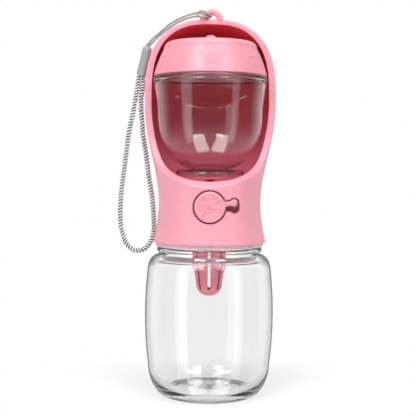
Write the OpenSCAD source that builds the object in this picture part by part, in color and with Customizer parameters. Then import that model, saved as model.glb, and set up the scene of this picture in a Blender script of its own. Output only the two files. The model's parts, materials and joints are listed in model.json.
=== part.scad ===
// Travel water bottle for a dog: clear bottle, hooded drinking trough that holds a food cup, and a wrist lanyard.
// Millimetres, +Z up. The origin is the centre of the bottle's foot. The front, with the button, faces -Y.

/* [Bottle] */
// Largest radius of the bottle, at its belly
bottle_r = 38.4; // [35:0.1:47]
// Height of the belly
belly_z = 49; // [42:0.5:56]
// Radius of the arc that the barrel-shaped side follows
belly_arc_r = 235; // [190:1:300]
// Height where the side turns in to the shoulder
shoulder_z = 75; // [62:0.5:92]
// Height of the rounded shoulder
shoulder_h = 9.3; // [7.5:0.1:11.5]
// Height of the rounded lower corner
foot_corner_h = 18; // [15:0.5:22]
// Outer radius of the flat ring that the bottle stands on
foot_r = 26; // [22:0.5:30]
// Width of that flat ring
foot_ring_w = 2.4; // [1.8:0.1:4]
// Wall of the bottle
bottle_wall = 1.8; // [1.4:0.1:2.4]
// How far the floor is pushed up at its centre
floor_push = 2.4; // [1.5:0.1:4]

/* [Bottle neck and thread] */
// Radius of the groove between shoulder and bead
groove_r = 30.1; // [29.6:0.1:31]
// Height of the groove
groove_h = 2.1; // [1.5:0.1:3]
// Radius of the bead under the thread
bead_r = 31.3; // [30.5:0.1:32]
// Height of the bead
bead_h = 2.8; // [2:0.1:3.5]
// Outer radius of the neck between its thread ridges
neck_r = 26.4; // [24.5:0.1:27]
// Wall of the neck
neck_wall = 2.2; // [1.8:0.1:2.6]
// Length of the neck above the bead
neck_h = 10.5; // [10.2:0.1:13]
// Rise of the thread in one turn
thread_lead = 4; // [3.4:0.1:4.8]
// How far a thread ridge stands out
ridge_h = 1.1; // [0.9:0.05:1.3]

/* [Head shell] */
// Largest radius of the hood
hood_r = 39.3; // [37.5:0.1:47]
// Height of the dome above the hood's widest level
dome_h = 46.2; // [42:0.1:55]
// Height from the bottle's bead to the waist
waist_up = 25.8; // [25.5:0.1:31]
// Height from the waist to the hood's widest level
hood_up = 63.6; // [60:0.1:76]
// Radius of the waist
waist_r = 30.4; // [30:0.1:36.5]
// Radius of the skirt's lower edge
skirt_r = 33.8; // [33.5:0.1:40]
// Wall of the hood, seen as the rim round its opening
hood_wall = 4.1; // [3.4:0.1:4.9]
// Wall of the skirt
skirt_wall = 2.0; // [1.7:0.1:2.4]
// Thickness of the trough's floor
floor_t = 1.9; // [1.6:0.1:2.3]
// Height of the trough's floor above the waist
floor_up = 11.4; // [11.4:0.1:13.5]
// Height of the trough's front lip above the waist
lip_up = 13; // [12.6:0.1:15]
// How far the front lip stands forward of the axis
lip_out = 28; // [26:0.1:33]
// Height in which the front cut falls off towards the lip
cut_fall = 12; // [10:0.5:14.5]

/* [Lock button] */
// Radius of the round button
button_r = 9.2; // [7.7:0.1:9.4]
// Distance from the button's centre to the middle of its tab
tab_reach = 14.2; // [13.4:0.1:14.6]
// Radius of the tab's round end
tab_r = 2.4; // [2:0.1:2.6]
// Angle at which the tab stands at rest
tab_angle = 10; // [8:1:12]
// Turn from unlocked to locked
lock_turn = 13; // [10:1:16]
// How far the button goes in
press_travel = 2.8; // [2:0.1:3]
// Thickness of the button's face
button_t = 1.9; // [1.6:0.1:2.2]
// Gap round the button
button_gap = 0.35; // [0.25:0.05:0.45]

/* [Valve] */
// Bore for the plunger's guide land
guide_bore_r = 4; // [3.6:0.1:4.8]
// Radius of the rear chamber
chamber_r = 6.5; // [5.6:0.1:6.8]
// Running clearance of the plunger in its bores
running_gap = 0.05; // [0.02:0.01:0.09]
// Thickness of the plate that carries the valve
plate_t = 1.6; // [1.3:0.1:1.7]
// Radius on which the plate's screws stand
screw_ring_r = 20; // [19:0.1:20.8]
// Radius of the outlet cover that the cup stands on
cover_r = 22; // [20:0.1:23]
// Height of the outlet cover
cover_h = 4.3; // [3.8:0.1:5]

/* [Strainer] */
// Radius of the strainer's upper sleeve
strainer_r = 10.3; // [9.9:0.1:12.4]
// Length of the strainer
strainer_h = 42.3; // [36:0.1:50]
// Wall of the strainer
strainer_wall = 1.3; // [1:0.1:1.5]
// Width of its slots
slot_w = 1.7; // [1.4:0.1:2.1]

/* [Food cup and lid] */
// Gap between the cup's widest level and the hood
cup_gap = 0.9; // [0.8:0.1:2]
// Wall of the cup
cup_wall = 1.8; // [1.5:0.1:2.2]
// Height of the cup's shoulder above its foot
cup_h = 59.4; // [56:0.1:60]
// Radius of the cup's foot ring
cup_foot_r = 20.6; // [18:0.1:21.5]
// Height of the foot ring under the bowl
cup_foot_h = 3.2; // [3:0.1:5]
// Outer radius of the cup's neck between its thread ridges
cup_neck_r = 28.8; // [27:0.1:29.2]
// Length of the cup's neck
cup_neck_h = 8.6; // [8:0.1:9.4]
// Rise of the quick thread in one turn
lid_lead = 8; // [7:0.1:8.4]
// Height of the lid without its grip
lid_h = 20.1; // [19.6:0.1:20.6]
// Wall of the lid
lid_wall = 2; // [1.6:0.1:2.4]
// Radius of the domed grip on the lid
grip_r = 3.5; // [3:0.1:4]
// Height of the domed grip
grip_h = 4.6; // [3.8:0.1:4.8]

/* [Lanyard] */
// Distance from the axis to the middle of the lanyard eye
eye_x = 0.5; // [0:0.1:0.8]
// Radius of the eye's arch to the middle of its bar
eye_r = 5.15; // [5:0.05:5.2]
// Radius of the eye's bar
eye_bar_r = 1.9; // [1.8:0.05:1.9]
// Radius of the thin cord
thin_cord_r = 0.6; // [0.5:0.05:0.6]
// Radius of the wrist loop's cord
wrist_cord_r = 1.75; // [1.5:0.05:1.8]
// Radius of the sleeve that joins the two cords
sleeve_r = 3; // [2.8:0.1:3.1]
// Length of the sleeve
sleeve_h = 18; // [16:0.5:18.5]

/* [Hidden] */
$fn = 96;

rest_gap = 0.3;       // what one moving body leaves to the next at rest
slip = 0.1;           // what a fixed piece leaves to its seat
fillet = 3;           // rounding between the trough's wall and floor
thread_clear = 0.4;   // what a thread's ridge leaves to the bore that it runs in
neck_z = shoulder_z + shoulder_h;
bead_top_z = neck_z + groove_h + bead_h;
neck_top_z = bead_top_z + neck_h;
skirt_z = bead_top_z + 2.1;
waist_z = bead_top_z + waist_up;
hood_z = waist_z + hood_up;
floor_z = waist_z + floor_up;
lip_z = waist_z + lip_up;
button_z = waist_z - 1.5;
plate_z = neck_top_z + 1.8;
hood_in_r = hood_r - hood_wall - slip;
dome_in_h = dome_h - 0.75 * hood_wall;
cavity_r = waist_r - skirt_wall;
collar_bore_r = neck_r + ridge_h + thread_clear;

// Places along the plunger's axis, counted in +Y
well_y = -sqrt(pow(waist_r - button_t, 2) - pow(tab_reach + tab_r, 2)) + press_travel + 0.35;
well_t = 1.2;
housing_y = well_y + well_t;
land_y = housing_y + 1.6;
land_h = 7;
seat_y = housing_y + 17.6;
chamber_end_y = seat_y + 15;
outlet_y = seat_y - 3.8;
inlet_y = seat_y + 5.5;
disc_y = seat_y + rest_gap;
disc_t = 2;
flange_t = 1.5;
stud_h = 3;
end_spigot_h = 3;
end_cap_t = 1.5;
stem_r = 2.5;
inlet_bore_r = 2.2;
inlet_pipe_r = 3.8;
outlet_bore_r = 1.8;
outlet_pipe_r = 3.2;
screw_r = 1.05;
boss_r = 2.8;
hub_r = 4;
hub_y = well_y - press_travel - 1.1;
seal_r = 0.9;
spring_wire_r = 0.4;
spring_r = 3.2;
spring_turns = 5;

// Cup and lid
cup_r = hood_in_r - cup_gap;
cup_z = floor_z + cover_h + rest_gap;
cup_top_z = cup_z + cup_h;
cup_side_z = cup_z + 41;
cup_side_r = cup_r - 1.8;
cup_bowl_z = cup_z + cup_foot_h;
cup_rim_z = cup_top_z + cup_neck_h;
lid_z = cup_top_z + rest_gap;
lid_top_z = lid_z + lid_h;
lid_ridge_h = 0.9;
lid_bore_r = cup_neck_r + lid_ridge_h + thread_clear;
lid_seat_z = cup_rim_z + 2;

// The arch of the eye stands with its centre just inside the dome
eye_z = hood_z + dome_h - 0.85;

// The thin cord's way: up out of the sleeve, over the dome, hitched round the eye's left leg, and back
thin_cord_route = [[-39, 4.8, 206.9], [-38.4, 4.5, 209.4], [-36.7, 3.9, 211.6], [-34, 3, 214.2], [-30.7, 2.3, 216.9],
    [-24.8, 1.6, 221.8], [-18.5, 1.2, 225.4], [-13.1, 1, 227.5], [-9.4, 1.2, 228.5], [-6.8, 2, 228.9],
    [-4.6, 2.7, 228.8], [-2.4, 2.9, 228], [-0.7, 2.1, 226.9], [0.2, 0, 226.3], [-0.6, -2, 226.9],
    [-2.6, -2.8, 228], [-4.5, -2.2, 229.1], [-6.4, -1.4, 229.4], [-7.6, -1.2, 228.4], [-7.8, -1.3, 227.2],
    [-6.7, -2.1, 226.3], [-4.9, -2.9, 225.8], [-2.9, -2.7, 225.7], [-1.5, -1.4, 225.7], [-1.1, 0, 225.8],
    [-1.5, 1.4, 225.7], [-2.9, 2.7, 225.8], [-4.9, 2.9, 226.2], [-6.8, 2.2, 226.7], [-9.1, 1.3, 226.7],
    [-12.7, 1, 225.9], [-17.9, 1.2, 224], [-24, 1.6, 220.5], [-29.9, 2.3, 216], [-33.1, 3, 213.1],
    [-35.6, 3.9, 210.7], [-37.2, 4.5, 209], [-37.8, 4.8, 206.6]];
// The wrist loop's way: out of the sleeve, down beside the bottle and back
wrist_cord_route = [[-42.6, 6.6, 194.6], [-43.2, 7, 192.2], [-44.3, 6.6, 184], [-45.5, 6, 176.5], [-47, 5.4, 167.5],
    [-49, 5, 158], [-50.5, 5, 145.5], [-52, 5, 133.5], [-53.5, 5, 121], [-54, 5, 112], [-54, 5.5, 104],
    [-53, 6, 97], [-50.5, 6.5, 90], [-47, 7, 86.5], [-43.5, 7.5, 85.5], [-39.5, 8, 86.5], [-36, 8.5, 90.5],
    [-34, 9, 97], [-34, 8.5, 105.5], [-35, 7.5, 118], [-37, 6.5, 130.5], [-38.5, 6, 142.5], [-40.5, 6, 155],
    [-41.5, 6.2, 167], [-42, 6.6, 176.5], [-41.2, 7, 184], [-40.8, 7, 191.6], [-40.2, 6.6, 194]];
sleeve_top = [-37.8, 4.5, 209.2];
sleeve_turn = [8, 13.6, 0];

// ---- Curves ----

function steps(a, b, n) = [for (i = [0:n]) a + (b - a) * i / n];

// A quarter of a superellipse from [r0, 0] on the base to [0, h] on the axis, moved up to z
function quarter(r0, z, w, h, power, n, from = 0, to = 90) =
    [for (a = steps(from, to, n)) [r0 + w * pow(max(cos(a), 0), 2 / power), z + h * pow(max(sin(a), 0), 2 / power)]];

function reversed(list) = [for (i = [len(list) - 1:-1:0]) list[i]];

function arc_points(cx, cy, r, a0, a1, n) = [for (a = steps(a0, a1, n)) [cx + r * cos(a), cy + r * sin(a)]];

// Radius of the bottle's barrel-shaped side
function side_r(z) = bottle_r - pow(z - belly_z, 2) / (2 * belly_arc_r);

// Radius of the head's outside, from the skirt up to the hood's widest level
function head_r(z) = z >= waist_z
    ? waist_r + (hood_r - waist_r) * (1 + cos(180 * pow(max(hood_z - z, 0) / hood_up, 1.15))) / 2
    : waist_r + (skirt_r - waist_r) * pow((waist_z - z) / (waist_z - skirt_z), 1.8);

// ---- Tubes along a route, and thread ridges ----

function unit(v) = v / norm(v);
function tangent(p, i) = unit(p[min(i + 1, len(p) - 1)] - p[max(i - 1, 0)]);
function upright(n, t) = unit(n - (n * t) * t);

// One frame direction for each point of the route, carried along without twist
function carried(p, first) =
    [for (i = 0, n = upright(first, tangent(p, 0)); i < len(p);
        i = i + 1, n = upright(n, tangent(p, min(i, len(p) - 1)))) n];

// Sweeps a regular polygon along route p; radii holds one radius for each point
module tube(p, radii, sides, first) {
    frames = carried(p, first);
    rings = [for (i = [0:len(p) - 1], k = [0:sides - 1])
        let (t = tangent(p, i), n = frames[i], b = cross(t, n), a = 360 * k / sides)
            p[i] + radii[i] * (cos(a) * n + sin(a) * b)];
    last = (len(p) - 1) * sides;
    polyhedron(rings, concat(
        [[for (k = [0:sides - 1]) k]],
        [for (i = [0:len(p) - 2], k = [0:sides - 1])
            let (a = i * sides + k, b = i * sides + (k + 1) % sides) [a, a + sides, b]],
        [for (i = [0:len(p) - 2], k = [0:sides - 1])
            let (a = i * sides + k, b = i * sides + (k + 1) % sides) [b, a + sides, b + sides]],
        [[for (k = [sides - 1:-1:0]) last + k]]), convexity = 6);
}

// A helical ridge of a right-hand thread, from root radius r0 to crest radius r1, with tapered ends
module ridge(r0, r1, z, lead, turn_from, turn_to, root_w, crest_w, pitch_angle = 10) {
    n = ceil((turn_to - turn_from) / pitch_angle);
    function fade(i) = min(1, 0.15 + min(i, n - i) / 3);
    points = [for (i = [0:n], k = [0:3])
        let (a = turn_from + (turn_to - turn_from) * i / n,
            zc = z + lead * (a - turn_from) / 360,
            r = k < 2 ? r0 : r0 + (r1 - r0) * fade(i),
            w = (k < 2 ? root_w : crest_w) * (0.5 + fade(i) / 2) / 2)
                [r * cos(a), r * sin(a), zc + (k == 0 || k == 3 ? -w : w)]];
    outward = r1 > r0;
    side_faces = [for (i = [0:n - 1], k = [0:3])
        let (a = i * 4 + k, b = i * 4 + (k + 1) % 4) each [[a, b, a + 4], [b, b + 4, a + 4]]];
    faces = concat([[0, 3, 2, 1]], side_faces, [[n * 4, n * 4 + 1, n * 4 + 2, n * 4 + 3]]);
    polyhedron(points, outward ? reversed_faces(faces) : faces, convexity = 4);
}
function reversed_faces(faces) = [for (f = faces) reversed(f)];

// A cylinder along the plunger's axis
module along_y(from, to, r) {
    translate([0, from, button_z]) rotate([-90, 0, 0]) cylinder(h = to - from, r = r);
}

module ring(r_out, r_in, z0, z1) {
    translate([0, 0, z0]) difference() {
        cylinder(h = z1 - z0, r = r_out);
        translate([0, 0, -1]) cylinder(h = z1 - z0 + 2, r = r_in);
    }
}

module at_screws() {
    for (a = [-30, 90, 210]) rotate(a) translate([screw_ring_r, 0, 0]) children();
}

// ---- Bottle ----

module bottle() {
    side_top = side_r(shoulder_z);
    corner_w = side_r(foot_corner_h) - foot_r;
    foot_in_r = foot_r - foot_ring_w;
    outer = concat(
        [for (a = steps(85, 0, 12)) [foot_r + corner_w * pow(cos(a), 2 / 1.75),
            foot_corner_h * (1 - pow(sin(a), 2 / 1.75))]],
        [for (z = steps(foot_corner_h, shoulder_z, 12)) if (z > foot_corner_h) [side_r(z), z]],
        [for (a = steps(0, 90, 9)) if (a > 0) [groove_r + (side_top - groove_r) * cos(a), shoulder_z + shoulder_h * sin(a)]],
        [for (a = steps(0, 180, 8)) [groove_r + (bead_r - groove_r) * pow(max(sin(a), 0), 0.6),
            neck_z + groove_h + bead_h * (1 - cos(a)) / 2]],
        [[neck_r, bead_top_z], [neck_r, neck_top_z - 0.5], [neck_r - 0.5, neck_top_z]]);
    inner_side_top = side_top - bottle_wall;
    bore_r = neck_r - neck_wall;
    throat_z = neck_z - bottle_wall;
    inner_w = corner_w - bottle_wall;
    inner_h = foot_corner_h - floor_push - 1;
    inner = concat(
        [[bore_r, neck_top_z], [bore_r, throat_z + 2]],
        [for (a = steps(80, 0, 8)) [bore_r + (inner_side_top - bore_r) * cos(a),
            shoulder_z + (throat_z - shoulder_z) * sin(a)]],
        [for (z = steps(shoulder_z, foot_corner_h, 12)) if (z < shoulder_z) [side_r(z) - bottle_wall, z]],
        [for (a = steps(0, 85, 10)) if (a > 0) [foot_r + inner_w * pow(cos(a), 2 / 1.75),
            foot_corner_h - inner_h * pow(sin(a), 2 / 1.75)]],
        [for (r = [foot_in_r, 18, 12.5, 9]) [r, floor_push * (1 - pow(r / foot_r, 2)) + 2.9]],
        [[8, floor_push + 3.4], [0, floor_push + 3.7]]);
    under = concat([[0, floor_push]],
        [for (r = [6, 12, 18]) [r, floor_push * (1 - pow(r / foot_in_r, 4))]],
        [[foot_in_r - 1, 0.7], [foot_in_r, 0], [foot_r, 0]]);
    color("aliceblue") union() {
        rotate_extrude() polygon(concat(outer, inner, under));
        ridge(neck_r - 0.6, neck_r + ridge_h, bead_top_z + 3, thread_lead, 0, 500, 2.6, 1);
    }
}

// ---- Head ----

module neck_gasket() {
    color("lavenderblush") ring(neck_r + 0.8, neck_r - neck_wall + 0.2, neck_top_z + rest_gap, plate_z - rest_gap);
}

// The inner collar that screws onto the neck; its flange shows under the skirt
module threaded_collar() {
    z0 = bead_top_z + rest_gap;
    z1 = neck_top_z - 0.6;
    color("thistle") union() {
        rotate_extrude() polygon(concat(
            [[collar_bore_r, z0 + 0.6], [collar_bore_r + 0.6, z0], [skirt_r - 2.1, z0], [skirt_r - 1.7, z0 + 0.4],
                [skirt_r - 1.7, skirt_z], [skirt_r - skirt_wall - 2 * slip, skirt_z]],
            [for (z = steps(skirt_z + 0.4, z1, 5)) [head_r(z) - skirt_wall - 2 * slip, z]],
            [[collar_bore_r, z1]]));
        ridge(collar_bore_r + 0.6, collar_bore_r - ridge_h, bead_top_z + 3 - thread_lead * 0.4, thread_lead, 36, 450, 2.6, 1);
    }
}

module head_outside() {
    rotate_extrude() polygon(concat(
        [[0, skirt_z], [skirt_r - 1.2, skirt_z]],
        [for (z = concat(steps(skirt_z + 0.9, waist_z, 7), steps(waist_z + 5, hood_z - 1, 13))) [head_r(z), z]],
        quarter(0, hood_z, hood_r, dome_h, 2.58, 16)));
}

// The space inside the hood, down to the trough's floor
module hood_space() {
    wall_r = head_r(floor_z + fillet) - hood_wall;
    rotate_extrude() polygon(concat(
        [[0, floor_z]],
        arc_points(wall_r - fillet, floor_z + fillet, fillet, -90, 0, 4),
        [for (z = steps(floor_z + fillet + 4, hood_z - 2, 12)) [head_r(z) - hood_wall, z]],
        quarter(0, hood_z, hood_in_r, dome_in_h, 2.7, 16)));
}

// The space inside the skirt, up to the trough's floor
module skirt_space() {
    top = floor_z - floor_t;
    rotate_extrude() polygon(concat(
        [[0, skirt_z - 1], [skirt_r - skirt_wall, skirt_z - 1]],
        [for (z = steps(skirt_z, waist_z, 6)) [head_r(z) - skirt_wall, z]],
        [[cavity_r, top], [0, top]]));
}

// Everything in front of the cut that opens the hood
module front_cut() {
    top = hood_z + dome_h + 20;
    curve = [for (i = [0:14]) let (z = lip_z + 0.5 + 62 * pow(i / 14, 2)) [-1 - (lip_out - 1) * exp(-(z - lip_z) / cut_fall), z]];
    rotate([90, 0, 90]) linear_extrude(height = 3 * hood_r, center = true) polygon(concat(
        [[-2 * hood_r, lip_z - 6], [-lip_out - 6, lip_z - 6]],
        curve,
        [[-1, top], [-2 * hood_r, top]]));
}

// Outline of the button (more = 0) or of the slot and well round it
module button_outline(more, turns) {
    circle(r = button_r + more);
    for (a = turns) rotate(a) {
        translate([tab_reach, 0]) circle(r = tab_r + more);
        translate([button_r - 2, -1.6 - more]) square([tab_reach - button_r + 2, 3.2 + 2 * more]);
    }
}

slot_turns = steps(tab_angle, tab_angle - lock_turn, 3);

module button_prism(from, to, more, turns) {
    translate([0, to, button_z]) rotate([90, 0, 0]) linear_extrude(height = to - from) button_outline(more, turns);
}

module head_shell() {
    color("lightpink") difference() {
        union() {
            difference() {
                head_outside();
                hood_space();
                skirt_space();
                front_cut();
            }
            at_screws() translate([0, 0, plate_z + plate_t])
                cylinder(h = floor_z - floor_t / 2 - plate_z - plate_t, r = boss_r);
        }
        button_prism(-2 * waist_r, well_y, button_gap, slot_turns);
        at_screws() translate([0, 0, plate_z]) cylinder(h = plate_t + 8, r = screw_r + slip);
        translate([0, outlet_y, 0]) cylinder(h = floor_z + 1, r = outlet_pipe_r + slip);
    }
}

// Half-round eye on top of the dome
module lanyard_eye() {
    color("lightpink") difference() {
        translate([eye_x, 0, eye_z]) rotate([90, 0, 0])
            rotate_extrude(angle = 180) translate([eye_r, 0]) circle(r = eye_bar_r, $fn = 48);
        difference() {
            head_outside();
            translate([0, 0, -1]) cylinder(h = hood_z, r = hood_r);
        }
    }
}

// Pocket behind the slot that the button sinks into
module button_well() {
    well_z = plate_z + plate_t + slip;
    foot_w = 5;
    color("palevioletred") difference() {
        intersection() {
            union() {
                button_prism(-waist_r, housing_y, button_gap + well_t, slot_turns);
                translate([-foot_w / 2, -waist_r, well_z])
                    cube([foot_w, housing_y + waist_r, button_z - button_r - button_gap - well_z]);
            }
            translate([0, 0, well_z]) cylinder(h = floor_z - floor_t - slip - well_z, r = cavity_r - slip);
        }
        button_prism(-2 * waist_r, well_y, button_gap, slot_turns);
        along_y(well_y - 1, housing_y + 1, stem_r + 0.4);
    }
}

module valve_plate() {
    spigot_r = strainer_r - strainer_wall - slip;
    color("lightpink") difference() {
        union() {
            translate([0, 0, plate_z]) cylinder(h = plate_t, r = cavity_r - rest_gap);
            ring(spigot_r, spigot_r - 1.4, plate_z - 6, plate_z + 0.5);
        }
        translate([0, inlet_y, plate_z - 1]) cylinder(h = plate_t + 2, r = inlet_bore_r);
        at_screws() translate([0, 0, plate_z - 1]) cylinder(h = plate_t + 2, r = screw_r + 0.35);
    }
}

// Valve body: bored along Y, with its inlet from the strainer and its outlet up to the trough
module valve_housing() {
    front_r = guide_bore_r + 2;
    rear_r = chamber_r + 1.5;
    color("lightpink") difference() {
        union() {
            along_y(housing_y, seat_y, front_r);
            along_y(seat_y - 1.5, chamber_end_y, rear_r);
            translate([0, inlet_y, plate_z + plate_t]) cylinder(h = button_z - plate_z - plate_t, r = inlet_pipe_r);
            translate([0, outlet_y, button_z]) cylinder(h = floor_z - button_z, r = outlet_pipe_r);
        }
        along_y(housing_y - 1, seat_y + 1, guide_bore_r);
        along_y(seat_y, chamber_end_y + 1, chamber_r);
        translate([0, inlet_y, plate_z]) cylinder(h = button_z - plate_z, r = inlet_bore_r);
        translate([0, outlet_y, button_z]) cylinder(h = floor_z - button_z + 1, r = outlet_bore_r);
    }
}

module housing_end_cap() {
    color("lightpink") difference() {
        union() {
            along_y(chamber_end_y - end_spigot_h, chamber_end_y, chamber_r - slip);
            along_y(chamber_end_y, chamber_end_y + end_cap_t, chamber_r + 1.5);
        }
        along_y(chamber_end_y - end_spigot_h - 1, chamber_end_y - 1, spring_r + 1);
    }
}

// Low round cover over the outlet, with a slit at the front; the food cup stands on it
module outlet_cover() {
    top = floor_z + cover_h;
    color("palevioletred") difference() {
        translate([0, 0, floor_z]) cylinder(h = cover_h, r = cover_r);
        translate([0, 0, floor_z - 1]) cylinder(h = cover_h - 0.4, r = cover_r - 1.6);
        translate([-2.3, -cover_r - 1, top - 2.6]) cube([4.6, 4, 1]);
    }
}

module plate_screws() {
    color("silver") at_screws() {
        translate([0, 0, plate_z - 0.5]) cylinder(h = plate_t + 7, r = screw_r);
        translate([0, 0, plate_z - 1.5]) difference() {
            cylinder(h = 1.5, r = 2.3);
            for (a = [0, 90]) rotate(a) translate([-1.3, -0.3, -1]) cube([2.6, 0.6, 1.8]);
        }
    }
}

// Slotted cage that hangs in the bottle's neck
module strainer_cage() {
    top = plate_z - slip;
    bottom = plate_z - strainer_h;
    step_z = bottom + 0.43 * strainer_h;
    taper_r = strainer_r - 2.4;
    bowl_h = 8.2;
    function skin(inset) = concat(
        [[strainer_r - inset, top], [strainer_r - inset, step_z + 1.2], [strainer_r - 0.5 - inset, step_z],
            [strainer_r - 1.2 - inset, step_z - 1.2]],
        quarter(0, bottom + bowl_h, taper_r - inset, -(bowl_h - inset), 2.2, 8));
    color("palevioletred") difference() {
        rotate_extrude() polygon(concat([[0, top]], skin(0)));
        rotate_extrude() polygon(concat([[0, top + 1]], [[strainer_r - strainer_wall, top + 1]], skin(strainer_wall)));
        for (a = [0:45:135]) rotate(a) translate([-slot_w / 2, -2 * strainer_r, bottom + 5])
            cube([slot_w, 4 * strainer_r, strainer_h - 14]);
        for (a = [0:45:135]) rotate(a) translate([0, 2 * strainer_r, bottom + 5])
            rotate([90, 0, 0]) cylinder(h = 4 * strainer_r, d = slot_w, $fn = 24);
    }
}

// ---- Button and plunger ----

module plunger() {
    land_end = land_y + land_h;
    flange_y = disc_y + disc_t;
    color("white") difference() {
        union() {
            along_y(hub_y - 3.2, land_y + 1, stem_r);
            along_y(land_y, land_end, guide_bore_r - running_gap);
            along_y(land_end - 1, flange_y + 1, 2);
            along_y(flange_y, flange_y + flange_t, chamber_r - 1.2);
            along_y(flange_y + 1, flange_y + flange_t + stud_h, spring_r - 1);
        }
        groove = land_y + land_h / 2;
        difference() {
            along_y(groove - seal_r - 0.2, groove + seal_r + 0.2, guide_bore_r + 1);
            along_y(groove - seal_r - 1, groove + seal_r + 1, guide_bore_r - 2 * seal_r + 0.05 - slip);
        }
    }
}

// O-ring round the plunger's guide land
module stem_seal() {
    color("dimgray") translate([0, land_y + land_h / 2, button_z]) rotate([-90, 0, 0]) rotate_extrude()
        translate([guide_bore_r - 0.05 - seal_r, 0]) circle(r = seal_r, $fn = 24);
}

// Soft disc that closes the valve's seat
module valve_disc() {
    color("whitesmoke") difference() {
        along_y(disc_y, disc_y + disc_t, chamber_r - 0.8);
        along_y(disc_y - 1, disc_y + disc_t + 1, 2 + running_gap);
    }
}

module button_spring() {
    y0 = disc_y + disc_t + flange_t + spring_wire_r + 0.05;
    y1 = chamber_end_y - 1 - spring_wire_r - 0.05;
    n = spring_turns * 12;
    route = [for (i = [0:n]) let (a = 360 * spring_turns * i / n)
        [spring_r * cos(a), y0 + (y1 - y0) * i / n, button_z + spring_r * sin(a)]];
    color("silver") tube(route, [for (i = [0:n]) spring_wire_r], 6, [0, 1, 0]);
}

// Round button with its side tab; the face follows the waist
module lock_button() {
    reach = button_r + 3;
    inner_r = waist_r - button_t;
    color("pink") difference() {
        union() {
            intersection() {
                button_prism(-2 * waist_r, 0, 0, [tab_angle]);
                rotate_extrude() polygon(concat(
                    [for (z = steps(button_z - reach, button_z + reach, 10)) [head_r(z), z]],
                    [[inner_r, button_z + reach], [inner_r, button_z - reach]]));
            }
            along_y(-waist_r + button_t / 2, hub_y, hub_r);
        }
        along_y(hub_y - 3.5, hub_y + 1, stem_r + running_gap);
    }
}

// ---- Food cup and lid ----

module cup_bowl(inset) {
    rotate_extrude() polygon(concat(
        reversed(quarter(0, cup_side_z, cup_side_r - inset, -(cup_side_z - cup_bowl_z - inset), 2.6, 14)),
        [[cup_r - inset, cup_top_z - 1.6 - inset / 2]],
        inset == 0 ? arc_points(cup_r - 1.6, cup_top_z - 1.6, 1.6, 30, 90, 2) : [[cup_neck_r, cup_top_z - inset]],
        [[0, cup_top_z - inset]]));
}

module food_cup() {
    bore_r = cup_neck_r - cup_wall;
    color("aliceblue") union() {
        difference() {
            union() {
                cup_bowl(0);
                ring(cup_foot_r, cup_foot_r - 1.6, cup_z, cup_bowl_z + 0.7);
                translate([0, 0, cup_bowl_z - 0.5]) cylinder(h = 1.2, r = cup_foot_r - 0.8);
                translate([0, 0, cup_top_z - 1]) cylinder(h = cup_neck_h + 1, r = cup_neck_r);
            }
            cup_bowl(cup_wall);
            translate([0, 0, cup_top_z - 4]) cylinder(h = cup_neck_h + 5, r = bore_r);
        }
        for (a = [0, 180]) rotate(a)
            ridge(cup_neck_r - 0.6, cup_neck_r + lid_ridge_h, cup_top_z + 3, lid_lead, 0, 150, 1.8, 0.7);
    }
}

module lid_seal() {
    color("white") ring(lid_bore_r - slip, cup_neck_r - cup_wall, cup_rim_z + rest_gap, lid_seat_z - rest_gap);
}

// Domed lid on a quick thread
module cup_lid() {
    edge_r = cup_r - 0.35;
    flat_r = edge_r - 9.8;
    corner_h = 4.1;
    function lid_side_r(h) = edge_r - 0.215 * h - 0.0095 * h * h;
    color("lightpink") union() {
        rotate_extrude() polygon(concat(
            [[lid_bore_r, lid_z], [edge_r - 0.5, lid_z], [edge_r, lid_z + 0.5]],
            [for (h = steps(2, lid_h - corner_h, 6)) [lid_side_r(h), lid_z + h]],
            [for (a = steps(15, 90, 5)) [flat_r + (lid_side_r(lid_h - corner_h) - flat_r) * cos(a),
                lid_top_z + corner_h * (sin(a) - 1)]],
            [[grip_r, lid_top_z]],
            [for (a = steps(0, 90, 5)) [grip_r * cos(a), lid_top_z + grip_h - 2.2 + 2.2 * sin(a)]],
            [[0, lid_top_z - lid_wall], [flat_r - 1.5, lid_top_z - lid_wall], [flat_r + 1.4, lid_top_z - lid_wall - 2.6],
                [lid_bore_r - 2.6, lid_seat_z], [lid_bore_r, lid_seat_z]]));
        for (a = [0, 180]) rotate(a)
            ridge(lid_bore_r + 0.6, lid_bore_r - lid_ridge_h, cup_top_z + 1.4, lid_lead, 0, 130, 1.6, 0.6);
    }
}

// ---- Lanyard ----

module thin_cord() {
    color("silver") tube(thin_cord_route, [for (p = thin_cord_route) thin_cord_r], 8, [0, 1, 0]);
}

module cord_sleeve() {
    color("darkgray") translate(sleeve_top) rotate(sleeve_turn) rotate_extrude() polygon([[0, -sleeve_h],
        [sleeve_r - 0.4, -sleeve_h], [sleeve_r, -sleeve_h + 0.4], [sleeve_r - 0.2, -2.5], [sleeve_r - 0.8, -0.8],
        [sleeve_r - 1.7, 0], [0, 0]]);
}

module wrist_loop_cord() {
    n = len(wrist_cord_route) - 1;
    color("gainsboro") tube(wrist_cord_route,
        [for (i = [0:n]) wrist_cord_r * min(1, 0.68 + 0.16 * max(0, min(i, n - i) - 1))], 8, [0, 1, 0]);
}

bottle();
neck_gasket();
threaded_collar();
head_shell();
lanyard_eye();
button_well();
valve_plate();
valve_housing();
housing_end_cap();
outlet_cover();
plate_screws();
strainer_cage();
plunger();
stem_seal();
valve_disc();
button_spring();
lock_button();
food_cup();
lid_seal();
cup_lid();
thin_cord();
cord_sleeve();
wrist_loop_cord();
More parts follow.
